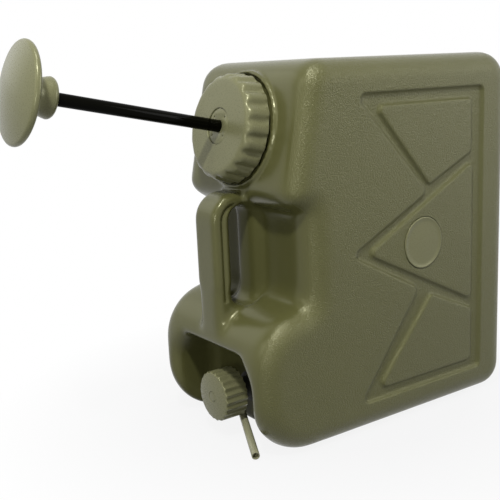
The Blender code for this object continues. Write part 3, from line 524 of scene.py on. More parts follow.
def hand_hole(name):
    """The hand hole, with a small lip all round and a wide one where its rear runs into the step."""
    half = GRIP_WIDTH / 2
    sections = [(-half - HOLE_LIP, 0.0)] + [(depth - half, depth) for depth in HOLE_LIP_DEPTHS]
    sections += [(-x, depth) for x, depth in reversed(sections)]
    rings = []
    for x, depth in sections:
        opened = flare(depth, HOLE_LIP)
        rear = HOLE_REAR_Y + flare(depth, HOLE_REAR_LIP) - opened
        corners = (
            (HOLE_FRONT_Y, HOLE_BOTTOM, HOLE_END), (rear, HOLE_BOTTOM, HOLE_END),
            (rear, HOLE_TOP, HOLE_END), (HOLE_FRONT_Y, HOLE_TOP, HOLE_END),
        )
        rings.append([(x, y, z) for y, z in rounded_outline(corners, -opened)])
    return lofted(name, rings)


def recess(name, grow=0.0):
    """The tap's recess: open in front and below, with rounded rear edges and a soft lip."""
    corners = (
        (-RECESS_HALF, RECESS_FOOT, RECESS_CORNER), (RECESS_HALF, RECESS_FOOT, RECESS_CORNER),
        (RECESS_HALF, RECESS_LEAN, RECESS_BEND), (RECESS_TOP_HALF, RECESS_TOP, RECESS_CORNER),
        (-RECESS_TOP_HALF, RECESS_TOP, RECESS_CORNER), (-RECESS_HALF, RECESS_LEAN, RECESS_BEND),
    )
    rear = rim_steps(RECESS_REAR_EDGE, 8)
    sections = [(RECESS_REAR_Y + grow - distance, dip - grow) for distance, dip in rear]
    for step in range(RECESS_LIP_STEPS + 1):
        angle = math.pi / 2 * step / RECESS_LIP_STEPS
        opened = RECESS_LIP * (1 - math.cos(angle))
        sections.append((FRONT_Y + RECESS_LIP * math.cos(angle), -opened - grow))
    sections.append((FRONT_Y - RECESS_LIP, -RECESS_LIP - grow))
    return lofted(name, [[(x, y, z) for x, z in rounded_outline(corners, dip)] for y, dip in sections])


def channel(side, depth):
    """The zigzag channel on one side, with drafted walls and its three islands."""
    slope = CHANNEL_DRAFT / depth
    surface = CAN_SIZE.x / 2

    def prism(name, points, radius, sections):
        corners = [(y, z, radius) for y, z in points]
        rings = [[(side * x, y, z) for y, z in rounded_outline(corners, dip, 6)] for x, dip in sections]
        return lofted(name, rings)

    sections = ((surface - depth, CHANNEL_DRAFT), (surface + OVERRUN, -slope * OVERRUN))
    outer = prism("channel", CHANNEL_OUTLINE, CHANNEL_CORNER, sections)
    sections = (
        (surface - depth - OVERRUN, -CHANNEL_DRAFT - slope * OVERRUN),
        (surface + OVERRUN * 2, slope * OVERRUN * 2),
    )
    for points in ISLANDS:
        cut(outer, prism("island", points, ISLAND_CORNER, sections))
    return outer


def groove(side):
    """The fine groove along one side of the grip."""
    front = GRIP_Y + GROOVE_INSET
    bend = GRIP_BEND - GROOVE_INSET
    centre = Vector((front + bend, GRIP_TOP - GROOVE_INSET - bend))
    path = [Vector((front, GROOVE_BOTTOM)), Vector((front, centre.y))]
    for step in range(1, GROOVE_BEND_STEPS + 1):
        angle = math.pi - math.pi / 2 * step / GROOVE_BEND_STEPS
        path.append(centre + Vector((math.cos(angle), math.sin(angle))) * bend)
    x = side * GRIP_WIDTH / 2
    rings = []
    for index, point in enumerate(path):
        along = (path[min(index + 1, len(path) - 1)] - path[max(index - 1, 0)]).normalized()
        across = Vector((-along.y, along.x))
        ring = []
        for step in range(GROOVE_SIDES):
            angle = math.tau * step / GROOVE_SIDES
            spot = point + across * GROOVE_RADIUS * math.cos(angle)
            ring.append((x + GROOVE_RADIUS * math.sin(angle), spot.x, spot.y))
        rings.append(ring)
    return lofted("groove", rings)


def neck_solid():
    """The rounded ring round the cap's foot, and the neck that the cap screws on."""
    collar, height, neck, bead = 0.0622, 0.0034, 0.0470, 0.0026
    sunk, chamfer = 0.012, 0.0016
    floor = height - 0.0042
    profile = [(0, -sunk), (collar, -sunk)]
    profile += arc(collar - bead, height - bead, bead, 0, 120, 8)
    profile += [(collar - bead * 1.8, floor), (neck, floor)]
    profile += [(neck, NECK_TOP - chamfer), (neck - chamfer, NECK_TOP), (0, NECK_TOP)]
    return turned("neck_solid", profile, PUMP_FRAME, closed=False)


def fade(value, low, high):
    """0 below low, 1 above high and a smooth change between."""
    share = min(1.0, max(0.0, (value - low) / (high - low)))
    return share * share * (3 - 2 * share)


# Where the smoothing changes: (start, end) of the grip's bar behind, below and beside, of the can's front
# and sides, and of the step below, above, behind and beside
BAR_REAR = (HOLE_REAR_Y - 0.018, HOLE_REAR_Y - 0.008)
BAR_FOOT = (SHOULDER_REAR + 0.004, SHOULDER_REAR + 0.020)
BAR_SIDE = (GRIP_WIDTH / 2 + 0.002, GRIP_WIDTH / 2 + 0.012)
FRONT_ZONE = (-0.100, -0.080)
SIDE_ZONE = (0.075, 0.095)
STEP_FOOT = (SHOULDER_REAR - 0.020, SHOULDER_REAR + 0.010)
STEP_TOP = (CHIN_HEIGHT + 0.002, CHIN_HEIGHT + 0.022)
STEP_REAR = (NOTCH_Y + 0.010, NOTCH_Y + 0.040)
STEP_SIDE = (0.024, 0.040)
# Shares of the smoothing that the bar and the sides are spared, and that is left behind the front
BAR_SPARED = 0.92
SIDE_SPARED = 0.6
REAR_LEFT = 0.15


def blend_group(piece):
    """Weights that round the step, the grip's foot and the recess, and spare the grip's bar."""
    group = piece.vertex_groups.new(name="blend")
    for vertex in piece.data.vertices:
        x, y, z = vertex.co
        on_bar = (1 - fade(y, *BAR_REAR)) * fade(z, *BAR_FOOT) * (1 - fade(abs(x), *BAR_SIDE))
        in_front = 1 - fade(y, *FRONT_ZONE)
        side = fade(abs(x), *SIDE_ZONE)
        weight = (1 - on_bar * BAR_SPARED) * max(in_front, REAR_LEFT) * (1 - side * SIDE_SPARED)
        group.add([vertex.index], weight, "REPLACE")
    return group.name


def step_group(piece):
    """Weights for the step beside the grip, whose walls run into one another in wide curves."""
    group = piece.vertex_groups.new(name="step")
    for vertex in piece.data.vertices:
        x, y, z = vertex.co
        weight = fade(z, *STEP_FOOT) * (1 - fade(z, *STEP_TOP)) * (1 - fade(y, *STEP_REAR))
        group.add([vertex.index], weight * fade(abs(x), *STEP_SIDE), "REPLACE")
    return group.name


def can_outside(shell):
    """The outer skin as one solid: rounded where a moulded wall can't turn sharply, then its fine cuts."""
    can = pillow("can_shell", can_corners(shell), CAN_SIZE.x / 2, shell.rim)
    cut(can, pillow("grip", grip_corners(), GRIP_WIDTH / 2, GRIP_EDGE, steps=8), "UNION")
    cut(can, hand_hole("hole"))
    cut(can, recess("tap_recess"))
    add_modifier(can, "REMESH", mode="VOXEL", voxel_size=shell.voxel * FIRST_SKIN)
    add_modifier(can, "SMOOTH", factor=0.5, iterations=shell.blend, vertex_group=blend_group(can))
    add_modifier(can, "SMOOTH", factor=0.5, iterations=shell.blend, vertex_group=step_group(can))
    cut(can, neck_solid(), "UNION")
    for side in (1, -1):
        cut(can, channel(side, shell.channel_depth))
        cut(can, groove(side))
    add_modifier(can, "REMESH", mode="VOXEL", voxel_size=shell.voxel)
    add_modifier(can, "SMOOTH", factor=0.5, iterations=2)
    return can


def can_hollow(shell):
    """The inside, as a smaller copy of the same shapes."""
    half = CAN_SIZE.x / 2 - shell.side_wall
    rim = shell.rim - shell.wall
    inside = pillow("hollow", can_corners(shell), half, rim, steps=5, inset=shell.wall)
    cut(inside, recess("recess_grown", shell.wall))
    return inside


def drill(can, name, radius, low, high, matrix):
    """Cuts a plain round hole in the can along a frame's Z, from low to high."""
    profile = [(0, low), (radius, low), (radius, high), (0, high)]
    cut(can, turned(name, profile, matrix, closed=False))


def badge_frame(depth):
    """A frame on the right side, facing out, that far from the can's surface."""
    low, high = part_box("side_badge")
    centre = (low + high) / 2
    turn = Matrix.Rotation(math.pi / 2, 4, "Y")
    return Matrix.Translation((CAN_SIZE.x / 2 + depth, centre.y, centre.z)) @ turn


class CANSHELL_OT_build(bpy.types.Operator):
    """Mould the can's smooth shell round its cap, grip and tap recess"""

    bl_idname = "water_can.shell"
    bl_label = "Can Shell"

    def execute(self, context):
        shell = context.scene.water_can_shell
        can = can_outside(shell)
        add_modifier(can, "DECIMATE", ratio=FACES_KEPT)
        drill(can, "badge_seat", BADGE_SEAT_RADIUS, 0, DRILL_OUT, badge_frame(-BADGE_SEAT_DEPTH))
        cut(can, can_hollow(shell))
        drill(can, "bore", NECK_BORE, -NECK_BORE_REACH, NECK_BORE_REACH, PUMP_FRAME)
        drill(can, "hole", TAP_HOLE, -TAP_HOLE_REACH, DRILL_OUT, TAP_FRAME)
        smooth(can, angle=38)
        hand_over(can, can_plastic(), "can", "can", "can_body")
        return {"FINISHED"}


class BADGE_OT_build(bpy.types.Operator):
    """Set the bare, slightly domed badge in its seat"""

    bl_idname = "water_can.badge"
    bl_label = "Side Badge"

    def execute(self, context):
        low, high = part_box("side_badge")
        radius = (high.y - low.y) / 2
        thick = high.x - low.x
        lip, edge, dip = 0.0016, 0.0008, 0.0004
        inner = radius - lip
        profile = [(0, 0), (radius, 0)]
        profile += arc(radius - edge, thick - edge, edge, 0, 90)
        profile += [(inner, thick), (inner - edge, thick - dip)]
        for share in (0.8, 0.6, 0.4, 0.2, 0.0):
            profile.append((inner * share, thick - dip * share))
        place = badge_frame(low.x - CAN_SIZE.x / 2)
        badge = turned("badge_disc", profile, place, steps=128, closed=False)
        smooth(badge)
        hand_over(badge, fitting_plastic(), "can", "fittings", "side_badge")
        return {"FINISHED"}


# Cap and pump


# How steeply the scallops fade towards the cap's top and towards its foot, and the share left at the foot
SCALLOP_TOP_FADE = 4.5
SCALLOP_FOOT_FADE = 14
SCALLOP_FOOT_SHARE = 0.35
# Above 1 the scallops are narrower than the lands between them
SCALLOP_SHAPE = 1.6
SCALLOP_FACETS = 14


class CAP_OT_build(bpy.types.Operator):
    """Turn the screw cap with its finger scallops"""

    bl_idname = "water_can.cap"
    bl_label = "Screw Cap"

    def execute(self, context):
        sizes = context.scene.water_can_fittings
        foot, top_radius, bore, edge = 0.0575, 0.0550, 0.0492, 0.0084
        opening, throat, dish = 0.0188, 0.0150, 0.012
        foot_chamfer, opening_chamfer, bore_chamfer = 0.0008, 0.0006, 0.001
        inner_skin = bore + 0.0005
        pocket = GLAND_TOP - 0.0039
        ceiling = NECK_TOP + 0.0029

        def scallop(radius, height, angle):
            if radius < inner_skin:
                return radius
            along = (height - CAP_FOOT) / (CAP_TOP - CAP_FOOT)
            strength = min(1.0, (1 - along) * SCALLOP_TOP_FADE)
            strength *= min(1.0, along * SCALLOP_FOOT_FADE + SCALLOP_FOOT_SHARE)
            dip = (0.5 - 0.5 * math.cos(sizes.cap_scallops * angle)) ** SCALLOP_SHAPE
            return radius - sizes.scallop_depth * strength * dip

        profile = [(bore, CAP_FOOT), (foot - foot_chamfer, CAP_FOOT), (foot, CAP_FOOT + foot_chamfer)]
        for share in (0.25, 0.5, 0.75):
            height = CAP_FOOT + (CAP_TOP - edge - CAP_FOOT) * share
            profile.append((foot + (top_radius - foot) * share, height))
        profile += arc(top_radius - edge, CAP_TOP - edge, edge, 0, 86, 10)
        profile += [
            (top_radius - edge - 0.004, CAP_TOP - 0.0002), (opening + dish, CAP_TOP),
            (opening + opening_chamfer, CAP_TOP), (opening, CAP_TOP - opening_chamfer),
            (opening, pocket), (throat, pocket), (throat, ceiling),
            (bore - bore_chamfer, ceiling), (bore, ceiling - bore_chamfer),
        ]
        steps = sizes.cap_scallops * SCALLOP_FACETS
        cap = turned("cap_shell", profile, PUMP_FRAME, steps=steps, wave=scallop)
        smooth(cap, angle=44)
        hand_over(cap, fitting_plastic(), "cap", "fittings", "main_cap")
        return {"FINISHED"}


class HANDLE_OT_build(bpy.types.Operator):
    """Turn the pump's domed handle and its waisted hub"""

    bl_idname = "water_can.handle"
    bl_label = "Pump Handle"

    def execute(self, context):
        # The disc and its crown stay inside the solid's box
        radius = node_size("pump_handle").x / 2 - 0.0003
        peak = HANDLE_CROWN - 0.0001
        rim, hub, waist, socket = 0.0070, 0.0195, 0.0175, 0.0067
        chamfer, hub_edge, hollow = 0.0008, 0.0050, 0.0120
        shelf, waist_from, waist_to = 0.0078, 0.0110, 0.0135
        back = HUB_END + 0.0280
        front = back + rim
        floor = front - 0.0036
        profile = [(socket, HUB_END + chamfer), (socket + chamfer, HUB_END)]
        profile += arc(hub - hub_edge, HUB_END + hub_edge, hub_edge, -90, 0, 8)
        profile += [(hub - 0.0007, HUB_END + shelf), (waist + 0.0003, HUB_END + waist_from)]
        profile += [(waist, HUB_END + waist_to)]
        profile += arc(waist + hollow, back - 0.0145, hollow, 180, 100, 10)
        profile += arc(radius - rim / 2, back + rim / 2, rim / 2, -82, 72, 14)
        dome_radius, dome_foot = profile[-1]
        for share in (0.985, 0.95, 0.88, 0.78, 0.65, 0.5, 0.35, 0.2, 0.1, 0.0):
            profile.append((dome_radius * share, dome_foot + (peak - dome_foot) * (1 - share**2)))
        profile += [(0, floor), (socket, floor)]
        handle = turned("handle_disc", profile, PUMP_FRAME, steps=128)
        smooth(handle)
        hand_over(handle, fitting_plastic(), "plunger", "fittings", "pump_handle")
        return {"FINISHED"}


# Tap


# Below 1 the dips between the knob's ribs are wider than the ribs
RIB_SHAPE = 0.7
# The share of the ribs that is left where the knob's front edge rounds off
RIB_FRONT_SHARE = 0.35
RIB_FACETS = 12


class KNOB_OT_build(bpy.types.Operator):
    """Turn the tap's ribbed knob and the plain plug in its middle"""

    bl_idname = "water_can.knob"
    bl_label = "Tap Knob"

    def execute(self, context):
        sizes = context.scene.water_can_fittings
        radius = node_size("tap_knob").x / 2
        front = KNOB_CROWN - 0.0015
        edge, wall, chamfer, skirt = 0.0022, 0.0032, 0.0005, 0.012
        plug_low, plug_high = reach_along("knob_insert", TAP_FRAME)
        plug_radius = node_size("knob_insert").x / 2
        plug_edge, plug_chamfer = 0.0004, 0.0006
        spindle_bore, hub = 0.0043, 0.0085
        well_radius, well_floor = plug_radius + FIT, plug_low - FIT
        bore_top = plug_low - 0.003
        web = front - wall - 0.001

        def ribs(here, height, angle):
            if here < radius - wall / 2:
                return here
            strength = min(1.0, max(0.0, (front - height) / edge))
            dip = (0.5 - 0.5 * math.cos(sizes.knob_ribs * angle)) ** RIB_SHAPE
            return here - sizes.rib_depth * (RIB_FRONT_SHARE + (1 - RIB_FRONT_SHARE) * strength) * dip

        profile = [
            (radius - wall, KNOB_BACK), (radius - chamfer, KNOB_BACK), (radius, KNOB_BACK + chamfer),
            (radius, KNOB_BACK + skirt),
        ]
        profile += arc(radius - edge, front - edge, edge, 0, 84, 7)
        profile += [
            ((radius - edge) * 0.6, front + 0.0010), (plug_radius + 0.0007, KNOB_CROWN),
            (well_radius, KNOB_CROWN - 0.0004), (well_radius, well_floor), (0, well_floor),
            (0, bore_top), (spindle_bore, bore_top), (spindle_bore, KNOB_BACK),
            (hub, KNOB_BACK), (hub, web), (radius - wall, web),
        ]
        steps = sizes.knob_ribs * RIB_FACETS
        knob = turned("knob_shell", profile, TAP_FRAME, steps=steps, wave=ribs)
        smooth(knob)
        hand_over(knob, fitting_plastic(), "knob", "fittings", "tap_knob")
        profile = [(0, plug_low), (plug_radius, plug_low)]
        profile += arc(plug_radius - plug_edge, plug_high - plug_chamfer, plug_edge, 0, 90, 4)
        profile += [(plug_radius * 0.5, plug_high - 0.0001), (0, plug_high)]
        plug = turned("knob_plug", profile, TAP_FRAME, steps=64, closed=False)
        smooth(plug)
        hand_over(plug, fitting_plastic(), "knob", "fittings", "knob_insert")
        return {"FINISHED"}


# Pieces whose solids keep their shape, with softer edges


# Each piece with the body that it rides on and its slot, which also names its finish
DRESSED = (
    ("cap_gasket", "cap_seal", "seals"),
    ("rod_gland", "cap", "fittings"),
    ("rod_wiper_seal", "cap", "seals"),
    ("pump_barrel", "cap", "barrel"),
    ("barrel_foot", "cap", "black_plastic"),
    ("valve_flap", "cap", "seals"),
    ("pump_rod", "plunger", "rod"),
    ("pump_piston", "piston", "black_plastic"),
    ("piston_seal", "piston", "seals"),
    ("piston_nut", "plunger", "steel"),
    ("tap_body", "can", "black_plastic"),
    ("tap_wall_gasket", "can", "seals"),
    ("tap_lock_nut", "can", "black_plastic"),
    ("tap_bonnet", "can", "black_plastic"),
    ("spindle_o_ring", "can", "seals"),
    ("tap_spindle", "spindle", "brass"),
    ("tap_washer", "spindle", "seals"),
    ("spout_tube", "can", "tube"),
    ("filter_collar", "can", "cartridge"),
    ("filter_o_ring", "can", "seals"),
    ("filter_cage", "can", "cartridge"),
    ("prefilter_sleeve", "can", "foam"),
    ("filter_core", "can", "cartridge"),
    ("filter_end_cap", "can", "cartridge"),
)


def dressed_copy(node, edge):
    """A copy of a node with its points merged, its flat facets shaded round and its edges eased."""
    source = frame["nodes"][node]
    piece = bpy.data.objects.new(node + "_piece", source.data.copy())
    bpy.context.scene.collection.objects.link(piece)
    edit(piece)
    bpy.ops.mesh.select_all(action="SELECT")
    bpy.ops.mesh.remove_doubles(threshold=0.00001)
    bpy.ops.mesh.dissolve_limited(angle_limit=math.radians(0.5))
    done()
    if piece.data.has_custom_normals:
        bpy.ops.mesh.customdata_custom_splitnormals_clear()
    add_modifier(
        piece, "BEVEL", width=edge, segments=2, limit_method="ANGLE", angle_limit=math.radians(40),
        use_clamp_overlap=True,
    )
    smooth(piece, angle=30)
    return piece


class INNER_OT_build(bpy.types.Operator):
    """Ease the edges of the rod, seals, barrel, tap and cartridge, and finish them"""

    bl_idname = "water_can.inner"
    bl_label = "Rod, Seals, Tap and Cartridge"

    def execute(self, context):
        tube = context.scene.water_can_plastics.tube
        edge = context.scene.water_can_fittings.edge
        finishes = {
            "seals": plain("black_rubber", (0.015, 0.015, 0.015, 1), 0.75, grain=0.00006),
            "fittings": fitting_plastic(),
            "barrel": plain("natural_plastic", (0.62, 0.62, 0.56, 1), 0.34, see_through=0.35),
            "black_plastic": plain("black_plastic", (0.020, 0.020, 0.016, 1), 0.42, grain=0.00008),
            "rod": plain("gloss_black", (0.002, 0.002, 0.001, 1), 0.10, gloss=0.03),
            "steel": plain("turned_steel", (0.56, 0.56, 0.56, 1), 0.28, metallic=1.0),
            "brass": plain("turned_brass", (0.60, 0.43, 0.18, 1), 0.28, metallic=1.0),
            "tube": plain("olive_tube", tube, 0.26, see_through=0.25),
            "cartridge": plain("white_plastic", (0.70, 0.70, 0.68, 1), 0.40, grain=0.00006),
            "foam": plain("blue_foam", (0.08, 0.14, 0.22, 1), 0.95, grain=0.0006),
        }
        for node, body, slot in DRESSED:
            hand_over(dressed_copy(node, edge), finishes[slot], body, slot, node)
        return {"FINISHED"}


# Finishes


def material_of(name):
    """A new material, its nodes, its links and its shader."""
    made = bpy.data.materials.new(name)
    made.use_nodes = True
    return made, made.node_tree.nodes, made.node_tree.links, made.node_tree.nodes["Principled BSDF"]


def own_place(nodes):
    """A piece's own coordinates."""
    return nodes.new("ShaderNodeTexCoord").outputs["Object"]


def noise(nodes, links, scale, detail=3.0, roughness=0.55):
    """Noise on a piece's own coordinates; scale counts features to the metre."""
    texture = nodes.new("ShaderNodeTexNoise")
    texture.inputs["Scale"].default_value = scale
    texture.inputs["Detail"].default_value = detail
    texture.inputs["Roughness"].default_value = roughness
    links.new(own_place(nodes), texture.inputs["Vector"])
    return texture.outputs["Fac"]


def between(nodes, links, value, low, high, to_low, to_high):
    """A value carried from low and high over to to_low and to_high, and held beyond them."""
    ranged = nodes.new("ShaderNodeMapRange")
    ranged.inputs["From Min"].default_value = low
    ranged.inputs["From Max"].default_value = high
    ranged.inputs["To Min"].default_value = to_low
    ranged.inputs["To Max"].default_value = to_high
    links.new(value, ranged.inputs["Value"])
    return ranged.outputs["Result"]


def joined(nodes, links, operation, values):
    """The values multiplied or compared one after another."""
    total = values[0]
    for value in values[1:]:
        step = nodes.new("ShaderNodeMath")
        step.operation = operation
        links.new(total, step.inputs[0])
        links.new(value, step.inputs[1])
        total = step.outputs["Value"]
    return total


def shade(colour, share):
    """A colour made lighter or darker by a share."""
    return tuple(min(1.0, part * share) for part in colour[:3]) + (1.0,)


def drift(nodes, links, colour, spread, value, shader):
    """Gives a shader a colour that runs a little darker and lighter from place to place."""
    mixed = nodes.new("ShaderNodeMix")
    mixed.data_type = "RGBA"
    links.new(value, mixed.inputs["Factor"])
    mixed.inputs["A"].default_value = shade(colour, 1 - spread)
    mixed.inputs["B"].default_value = shade(colour, 1 + spread)
    links.new(mixed.outputs["Result"], shader.inputs["Base Color"])


def bump(nodes, links, height, distance, shader):
    """Gives a shader a relief of that depth."""
    bumped = nodes.new("ShaderNodeBump")
    bumped.inputs["Distance"].default_value = distance
    bumped.inputs["Strength"].default_value = 1.0
    links.new(height, bumped.inputs["Height"])
    links.new(bumped.outputs["Normal"], shader.inputs["Normal"])


# The can's grain sets in between these distances from the middle, with its share and roughness at each
GRAIN_FROM, GRAIN_FULL = 0.086, 0.098
GRAIN_SHARES = (0.05, 1.0)
CAN_ROUGHNESS = (0.24, 0.32)
# The bump is given this many times the grain's depth
GRAIN_BUMP = 5
# Share of the can's reflections that is left in the step and the recess, where they are dimmed as painted
# shade
PAINTED_SHADE_SHINE = 0.15
FITTING_ROUGHNESS = (0.25, 0.33)
FITTING_GRAIN = 0.00004
# Where the can's reflections are dimmed as painted shade: along Y or Z or aside from the middle, two places
# and the shares at them
STEP_PAINTED_SHADE = (
    ("Y", GRIP_Y + 0.014, GRIP_Y + 0.026, 0.0, 1.0),
    ("Y", NOTCH_Y + 0.004, NOTCH_Y + 0.012, 1.0, 0.0),
    ("Z", HOLE_BOTTOM - 0.004, HOLE_BOTTOM + 0.012, 0.0, 1.0),
    ("Z", CHIN_HEIGHT, CHIN_HEIGHT + 0.006, 1.0, 0.0),
    ("aside", 0.050, 0.090, 1.0, 0.0),
)
RECESS_PAINTED_SHADE = (
    ("Y", FRONT_Y + 0.004, FRONT_Y + 0.014, 0.0, 1.0),
    ("Y", RECESS_REAR_Y, RECESS_REAR_Y + 0.010, 1.0, 0.0),
    ("Z", RECESS_TOP + 0.002, RECESS_TOP + 0.008, 1.0, 0.0),
    ("aside", RECESS_HALF + 0.001, RECESS_HALF + 0.008, 1.0, 0.0),
)


def can_plastic():
    """Moulded polyethylene: pebbled on the sides, satin in front, its reflections dimmed as painted shade
    in the step and the recess.
    """
    if "moulded_olive" in bpy.data.materials:
        return bpy.data.materials["moulded_olive"]
    plastics = bpy.context.scene.water_can_plastics
    made, nodes, links, shader = material_of("moulded_olive")
    drift(nodes, links, plastics.can, 0.08, noise(nodes, links, 14.0, detail=4.0), shader)
    shader.inputs["Specular Tint"].default_value = tuple(plastics.gloss)
    pebble = noise(nodes, links, 700.0, detail=2.0, roughness=0.6)
    parts = nodes.new("ShaderNodeSeparateXYZ")
    links.new(own_place(nodes), parts.inputs["Vector"])
    aside = nodes.new("ShaderNodeMath")
    aside.operation = "ABSOLUTE"
    links.new(parts.outputs["X"], aside.inputs[0])
    places = {"Y": parts.outputs["Y"], "Z": parts.outputs["Z"], "aside": aside.outputs["Value"]}

    def inside(rows):
        shares = [between(nodes, links, places[along], *change) for along, *change in rows]
        return joined(nodes, links, "MULTIPLY", shares)

    grained = between(nodes, links, places["aside"], GRAIN_FROM, GRAIN_FULL, *GRAIN_SHARES)
    # Painted shade: the reflections fade where the step beside the grip and the tap's recess lie in shade
    painted_shade = joined(nodes, links, "MAXIMUM", [inside(STEP_PAINTED_SHADE), inside(RECESS_PAINTED_SHADE)])
    shine = between(nodes, links, painted_shade, 0.0, 1.0, plastics.shine, plastics.shine * PAINTED_SHADE_SHINE)
    links.new(shine, shader.inputs["Specular IOR Level"])
    rough = between(nodes, links, grained, 0.0, 1.0, *CAN_ROUGHNESS)
    links.new(rough, shader.inputs["Roughness"])
    height = joined(nodes, links, "MULTIPLY", [pebble, grained])
    bump(nodes, links, height, plastics.grain * GRAIN_BUMP, shader)
    return made


def fitting_plastic():
    """Paler injection-moulded plastic, satin, with faint flow marks."""
    if "moulded_pale_olive" in bpy.data.materials:
        return bpy.data.materials["moulded_pale_olive"]
    plastics = bpy.context.scene.water_can_plastics
    made, nodes, links, shader = material_of("moulded_pale_olive")
    drift(nodes, links, plastics.fitting, 0.05, noise(nodes, links, 22.0), shader)
    shader.inputs["Specular Tint"].default_value = tuple(plastics.gloss)
    shader.inputs["Specular IOR Level"].default_value = plastics.shine
    fine = noise(nodes, links, 900.0, detail=2.0)
    rough = between(nodes, links, fine, 0.3, 0.7, *FITTING_ROUGHNESS)
    links.new(rough, shader.inputs["Roughness"])
    bump(nodes, links, fine, FITTING_GRAIN, shader)
    return made


def plain(name, colour, roughness, metallic=0.0, grain=0.00002, see_through=0.0, gloss=0.5):
    """A finish with slight colour drift and a fine surface grain."""
    if name in bpy.data.materials:
        return bpy.data.materials[name]
    made, nodes, links, shader = material_of(name)
    drift(nodes, links, colour, 0.06, noise(nodes, links, 60.0), shader)
    shader.inputs["Roughness"].default_value = roughness
    shader.inputs["Metallic"].default_value = metallic
    shader.inputs["Transmission Weight"].default_value = see_through
    shader.inputs["Specular IOR Level"].default_value = gloss
    bump(nodes, links, noise(nodes, links, 1100.0, detail=2.0), grain, shader)
    return made


# Studio


# Each lamp's azimuth, elevation, distance and width; azimuth 0 is the front and 90 the badge side
LAMPS = (
    ("high", 42, 54, 1.6, 0.12),
    ("top", 30, 76, 1.5, 0.35),
    ("low", 38, 8, 1.5, 0.25),
    ("wide", 0, 32, 1.5, 0.80),
    ("rear", 135, 18, 1.7, 0.90),
    ("left", -60, 30, 1.5, 0.80),
    ("back", 180, 45, 1.6, 0.90),
)
LAMP_AIM = (0.0, -0.05, 0.2)
FLOOR_SIZE = 12
FLOOR_COLOUR = (0.28, 0.28, 0.29, 1)
# The floor shows this share of white up to the first distance from its middle, and white past the second
NEAR_WHITE = 0.88
WHITE_FROM, WHITE_FULL = 0.15, 0.42
SENSOR_WIDTH = 36.0
LENS_SHIFT = (0.0053, 0.0033)


def camera_matrix(studio):
    """Where the camera stands and how it is turned."""
    forward = Vector((
        -math.sin(studio.yaw) * math.cos(studio.pitch),
        math.cos(studio.yaw) * math.cos(studio.pitch),
        -math.sin(studio.pitch),
    ))
    level = Vector((math.cos(studio.yaw), math.sin(studio.yaw), 0.0))
    upright = level.cross(forward)
    c, s = math.cos(studio.roll), math.sin(studio.roll)
    right = level * c + upright * s
    up = upright * c - level * s
    turn = Matrix((right, up, -forward)).transposed().to_4x4()
    return Matrix.Translation(Vector(studio.place)) @ turn


def lamp(name, azimuth, elevation, distance, width, power):
    """A square area lamp that stands off in that direction and is aimed at the can."""
    made = bpy.data.lights.new(name, "AREA")
    made.shape = "SQUARE"
    made.size = width
    made.energy = power
    holder = bpy.data.objects.new(name, made)
    turn, lift = math.radians(azimuth), math.radians(elevation)
    away = Vector((math.sin(turn) * math.cos(lift), -math.cos(turn) * math.cos(lift), math.sin(lift)))
    holder.location = Vector(LAMP_AIM) + away * distance
    holder.rotation_euler = (-away).to_track_quat("-Z", "Y").to_euler()
    bpy.context.scene.collection.objects.link(holder)


def seen(nodes, links):
    """1 for what the camera sees, straight, in gloss or through clear plastic, and 0 for other light."""
    path = nodes.new("ShaderNodeLightPath")
    kinds = [path.outputs[kind] for kind in ("Is Camera Ray", "Is Glossy Ray", "Is Transmission Ray")]
    return joined(nodes, links, "MAXIMUM", kinds)


def mix_surfaces(nodes, links, factor, first, second, output):
    """Sends on the first surface, and by the factor the second in its place."""
    mixed = nodes.new("ShaderNodeMixShader")
    links.new(factor, mixed.inputs["Fac"])
    links.new(first, mixed.inputs[1])
    links.new(second, mixed.inputs[2])
    links.new(mixed.outputs["Shader"], nodes[output].inputs["Surface"])


def floor_finish():
    """A floor that bounces little light, and shows white with a faint shadow near the can."""
    made, nodes, links, shader = material_of("pale_floor")
    shader.inputs["Base Color"].default_value = FLOOR_COLOUR
    shader.inputs["Roughness"].default_value = 0.9
    shader.inputs["Specular IOR Level"].default_value = 0.0
    length = nodes.new("ShaderNodeVectorMath")
    length.operation = "LENGTH"
    links.new(own_place(nodes), length.inputs[0])
    white = between(nodes, links, length.outputs["Value"], WHITE_FROM, WHITE_FULL, NEAR_WHITE, 1.0)
    share = joined(nodes, links, "MULTIPLY", [seen(nodes, links), white])
    glow = nodes.new("ShaderNodeEmission")
    surface = shader.outputs["BSDF"]
    mix_surfaces(nodes, links, share, surface, glow.outputs["Emission"], "Material Output")
    return made


def world_light(strength):
    """Even light from all round, seen as plain white by the camera and in gloss."""
    world = bpy.data.worlds.new("studio_world")
    world.use_nodes = True
    nodes, links = world.node_tree.nodes, world.node_tree.links
    soft = nodes["Background"]
    soft.inputs["Color"].default_value = (1, 1, 1, 1)
    soft.inputs["Strength"].default_value = strength
    white = nodes.new("ShaderNodeBackground")
    white.inputs["Color"].default_value = (1, 1, 1, 1)
    mix_surfaces(
        nodes, links, seen(nodes, links), soft.outputs["Background"], white.outputs["Background"],
        "World Output",
    )
    bpy.context.scene.world = world


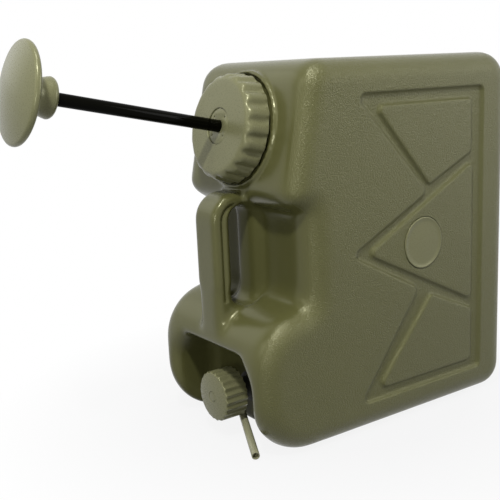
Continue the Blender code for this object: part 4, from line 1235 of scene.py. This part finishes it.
class STUDIO_OT_build(bpy.types.Operator):
    """Set the floor, the lamps and the camera"""

    bl_idname = "water_can.studio"
    bl_label = "Studio"

    def execute(self, context):
        studio = context.scene.water_can_studio
        deselect()
        bpy.ops.mesh.primitive_plane_add(size=FLOOR_SIZE)
        floor = context.active_object
        floor.name = "studio_floor"
        floor.data.materials.append(floor_finish())
        world_light(studio.sky)
        for name, *place in LAMPS:
            lamp(name + "_lamp", *place, getattr(studio, name))
        view = bpy.data.cameras.new("photo_camera")
        view.lens = studio.lens
        view.sensor_width = SENSOR_WIDTH
        view.shift_x, view.shift_y = LENS_SHIFT
        holder = bpy.data.objects.new("photo_camera", view)
        holder.matrix_world = camera_matrix(studio)
        context.scene.collection.objects.link(holder)
        context.scene.camera = holder
        context.scene.view_settings.view_transform = "Standard"
        return {"FINISHED"}


class WATERCAN_PT_panel(bpy.types.Panel):
    bl_label = "Water Can"
    bl_idname = "WATERCAN_PT_panel"
    bl_space_type = "VIEW_3D"
    bl_region_type = "UI"
    bl_category = "Water Can"

    def draw(self, context):
        layout = self.layout
        for operator, group in STEPS:
            layout.operator(operator)
            if group:
                owner = getattr(context.scene, group)
                for name in type(owner).__annotations__:
                    layout.prop(owner, name)


STEPS = (
    ("water_can.shell", "water_can_shell"),
    ("water_can.badge", None),
    ("water_can.cap", "water_can_fittings"),
    ("water_can.handle", None),
    ("water_can.knob", None),
    ("water_can.inner", "water_can_plastics"),
    ("water_can.studio", "water_can_studio"),
)
GROUPS = (
    ("water_can_shell", CanShell),
    ("water_can_fittings", Fittings),
    ("water_can_plastics", Plastics),
    ("water_can_studio", Studio),
)
OPERATORS = (
    CANSHELL_OT_build, BADGE_OT_build, CAP_OT_build, HANDLE_OT_build, KNOB_OT_build, INNER_OT_build,
    STUDIO_OT_build,
)


def register():
    for name, group in GROUPS:
        bpy.utils.register_class(group)
        setattr(bpy.types.Scene, name, PointerProperty(type=group))
    for operator in OPERATORS:
        bpy.utils.register_class(operator)
    bpy.utils.register_class(WATERCAN_PT_panel)


def unregister():
    bpy.utils.unregister_class(WATERCAN_PT_panel)
    for operator in reversed(OPERATORS):
        bpy.utils.unregister_class(operator)
    for name, group in reversed(GROUPS):
        delattr(bpy.types.Scene, name)
        bpy.utils.unregister_class(group)


def main():
    register()
    bpy.ops.water_can.shell()
    bpy.ops.water_can.badge()
    bpy.ops.water_can.cap()
    bpy.ops.water_can.handle()
    bpy.ops.water_can.knob()
    bpy.ops.water_can.inner()
    bpy.ops.water_can.studio()


if __name__ == "__main__":
    main()
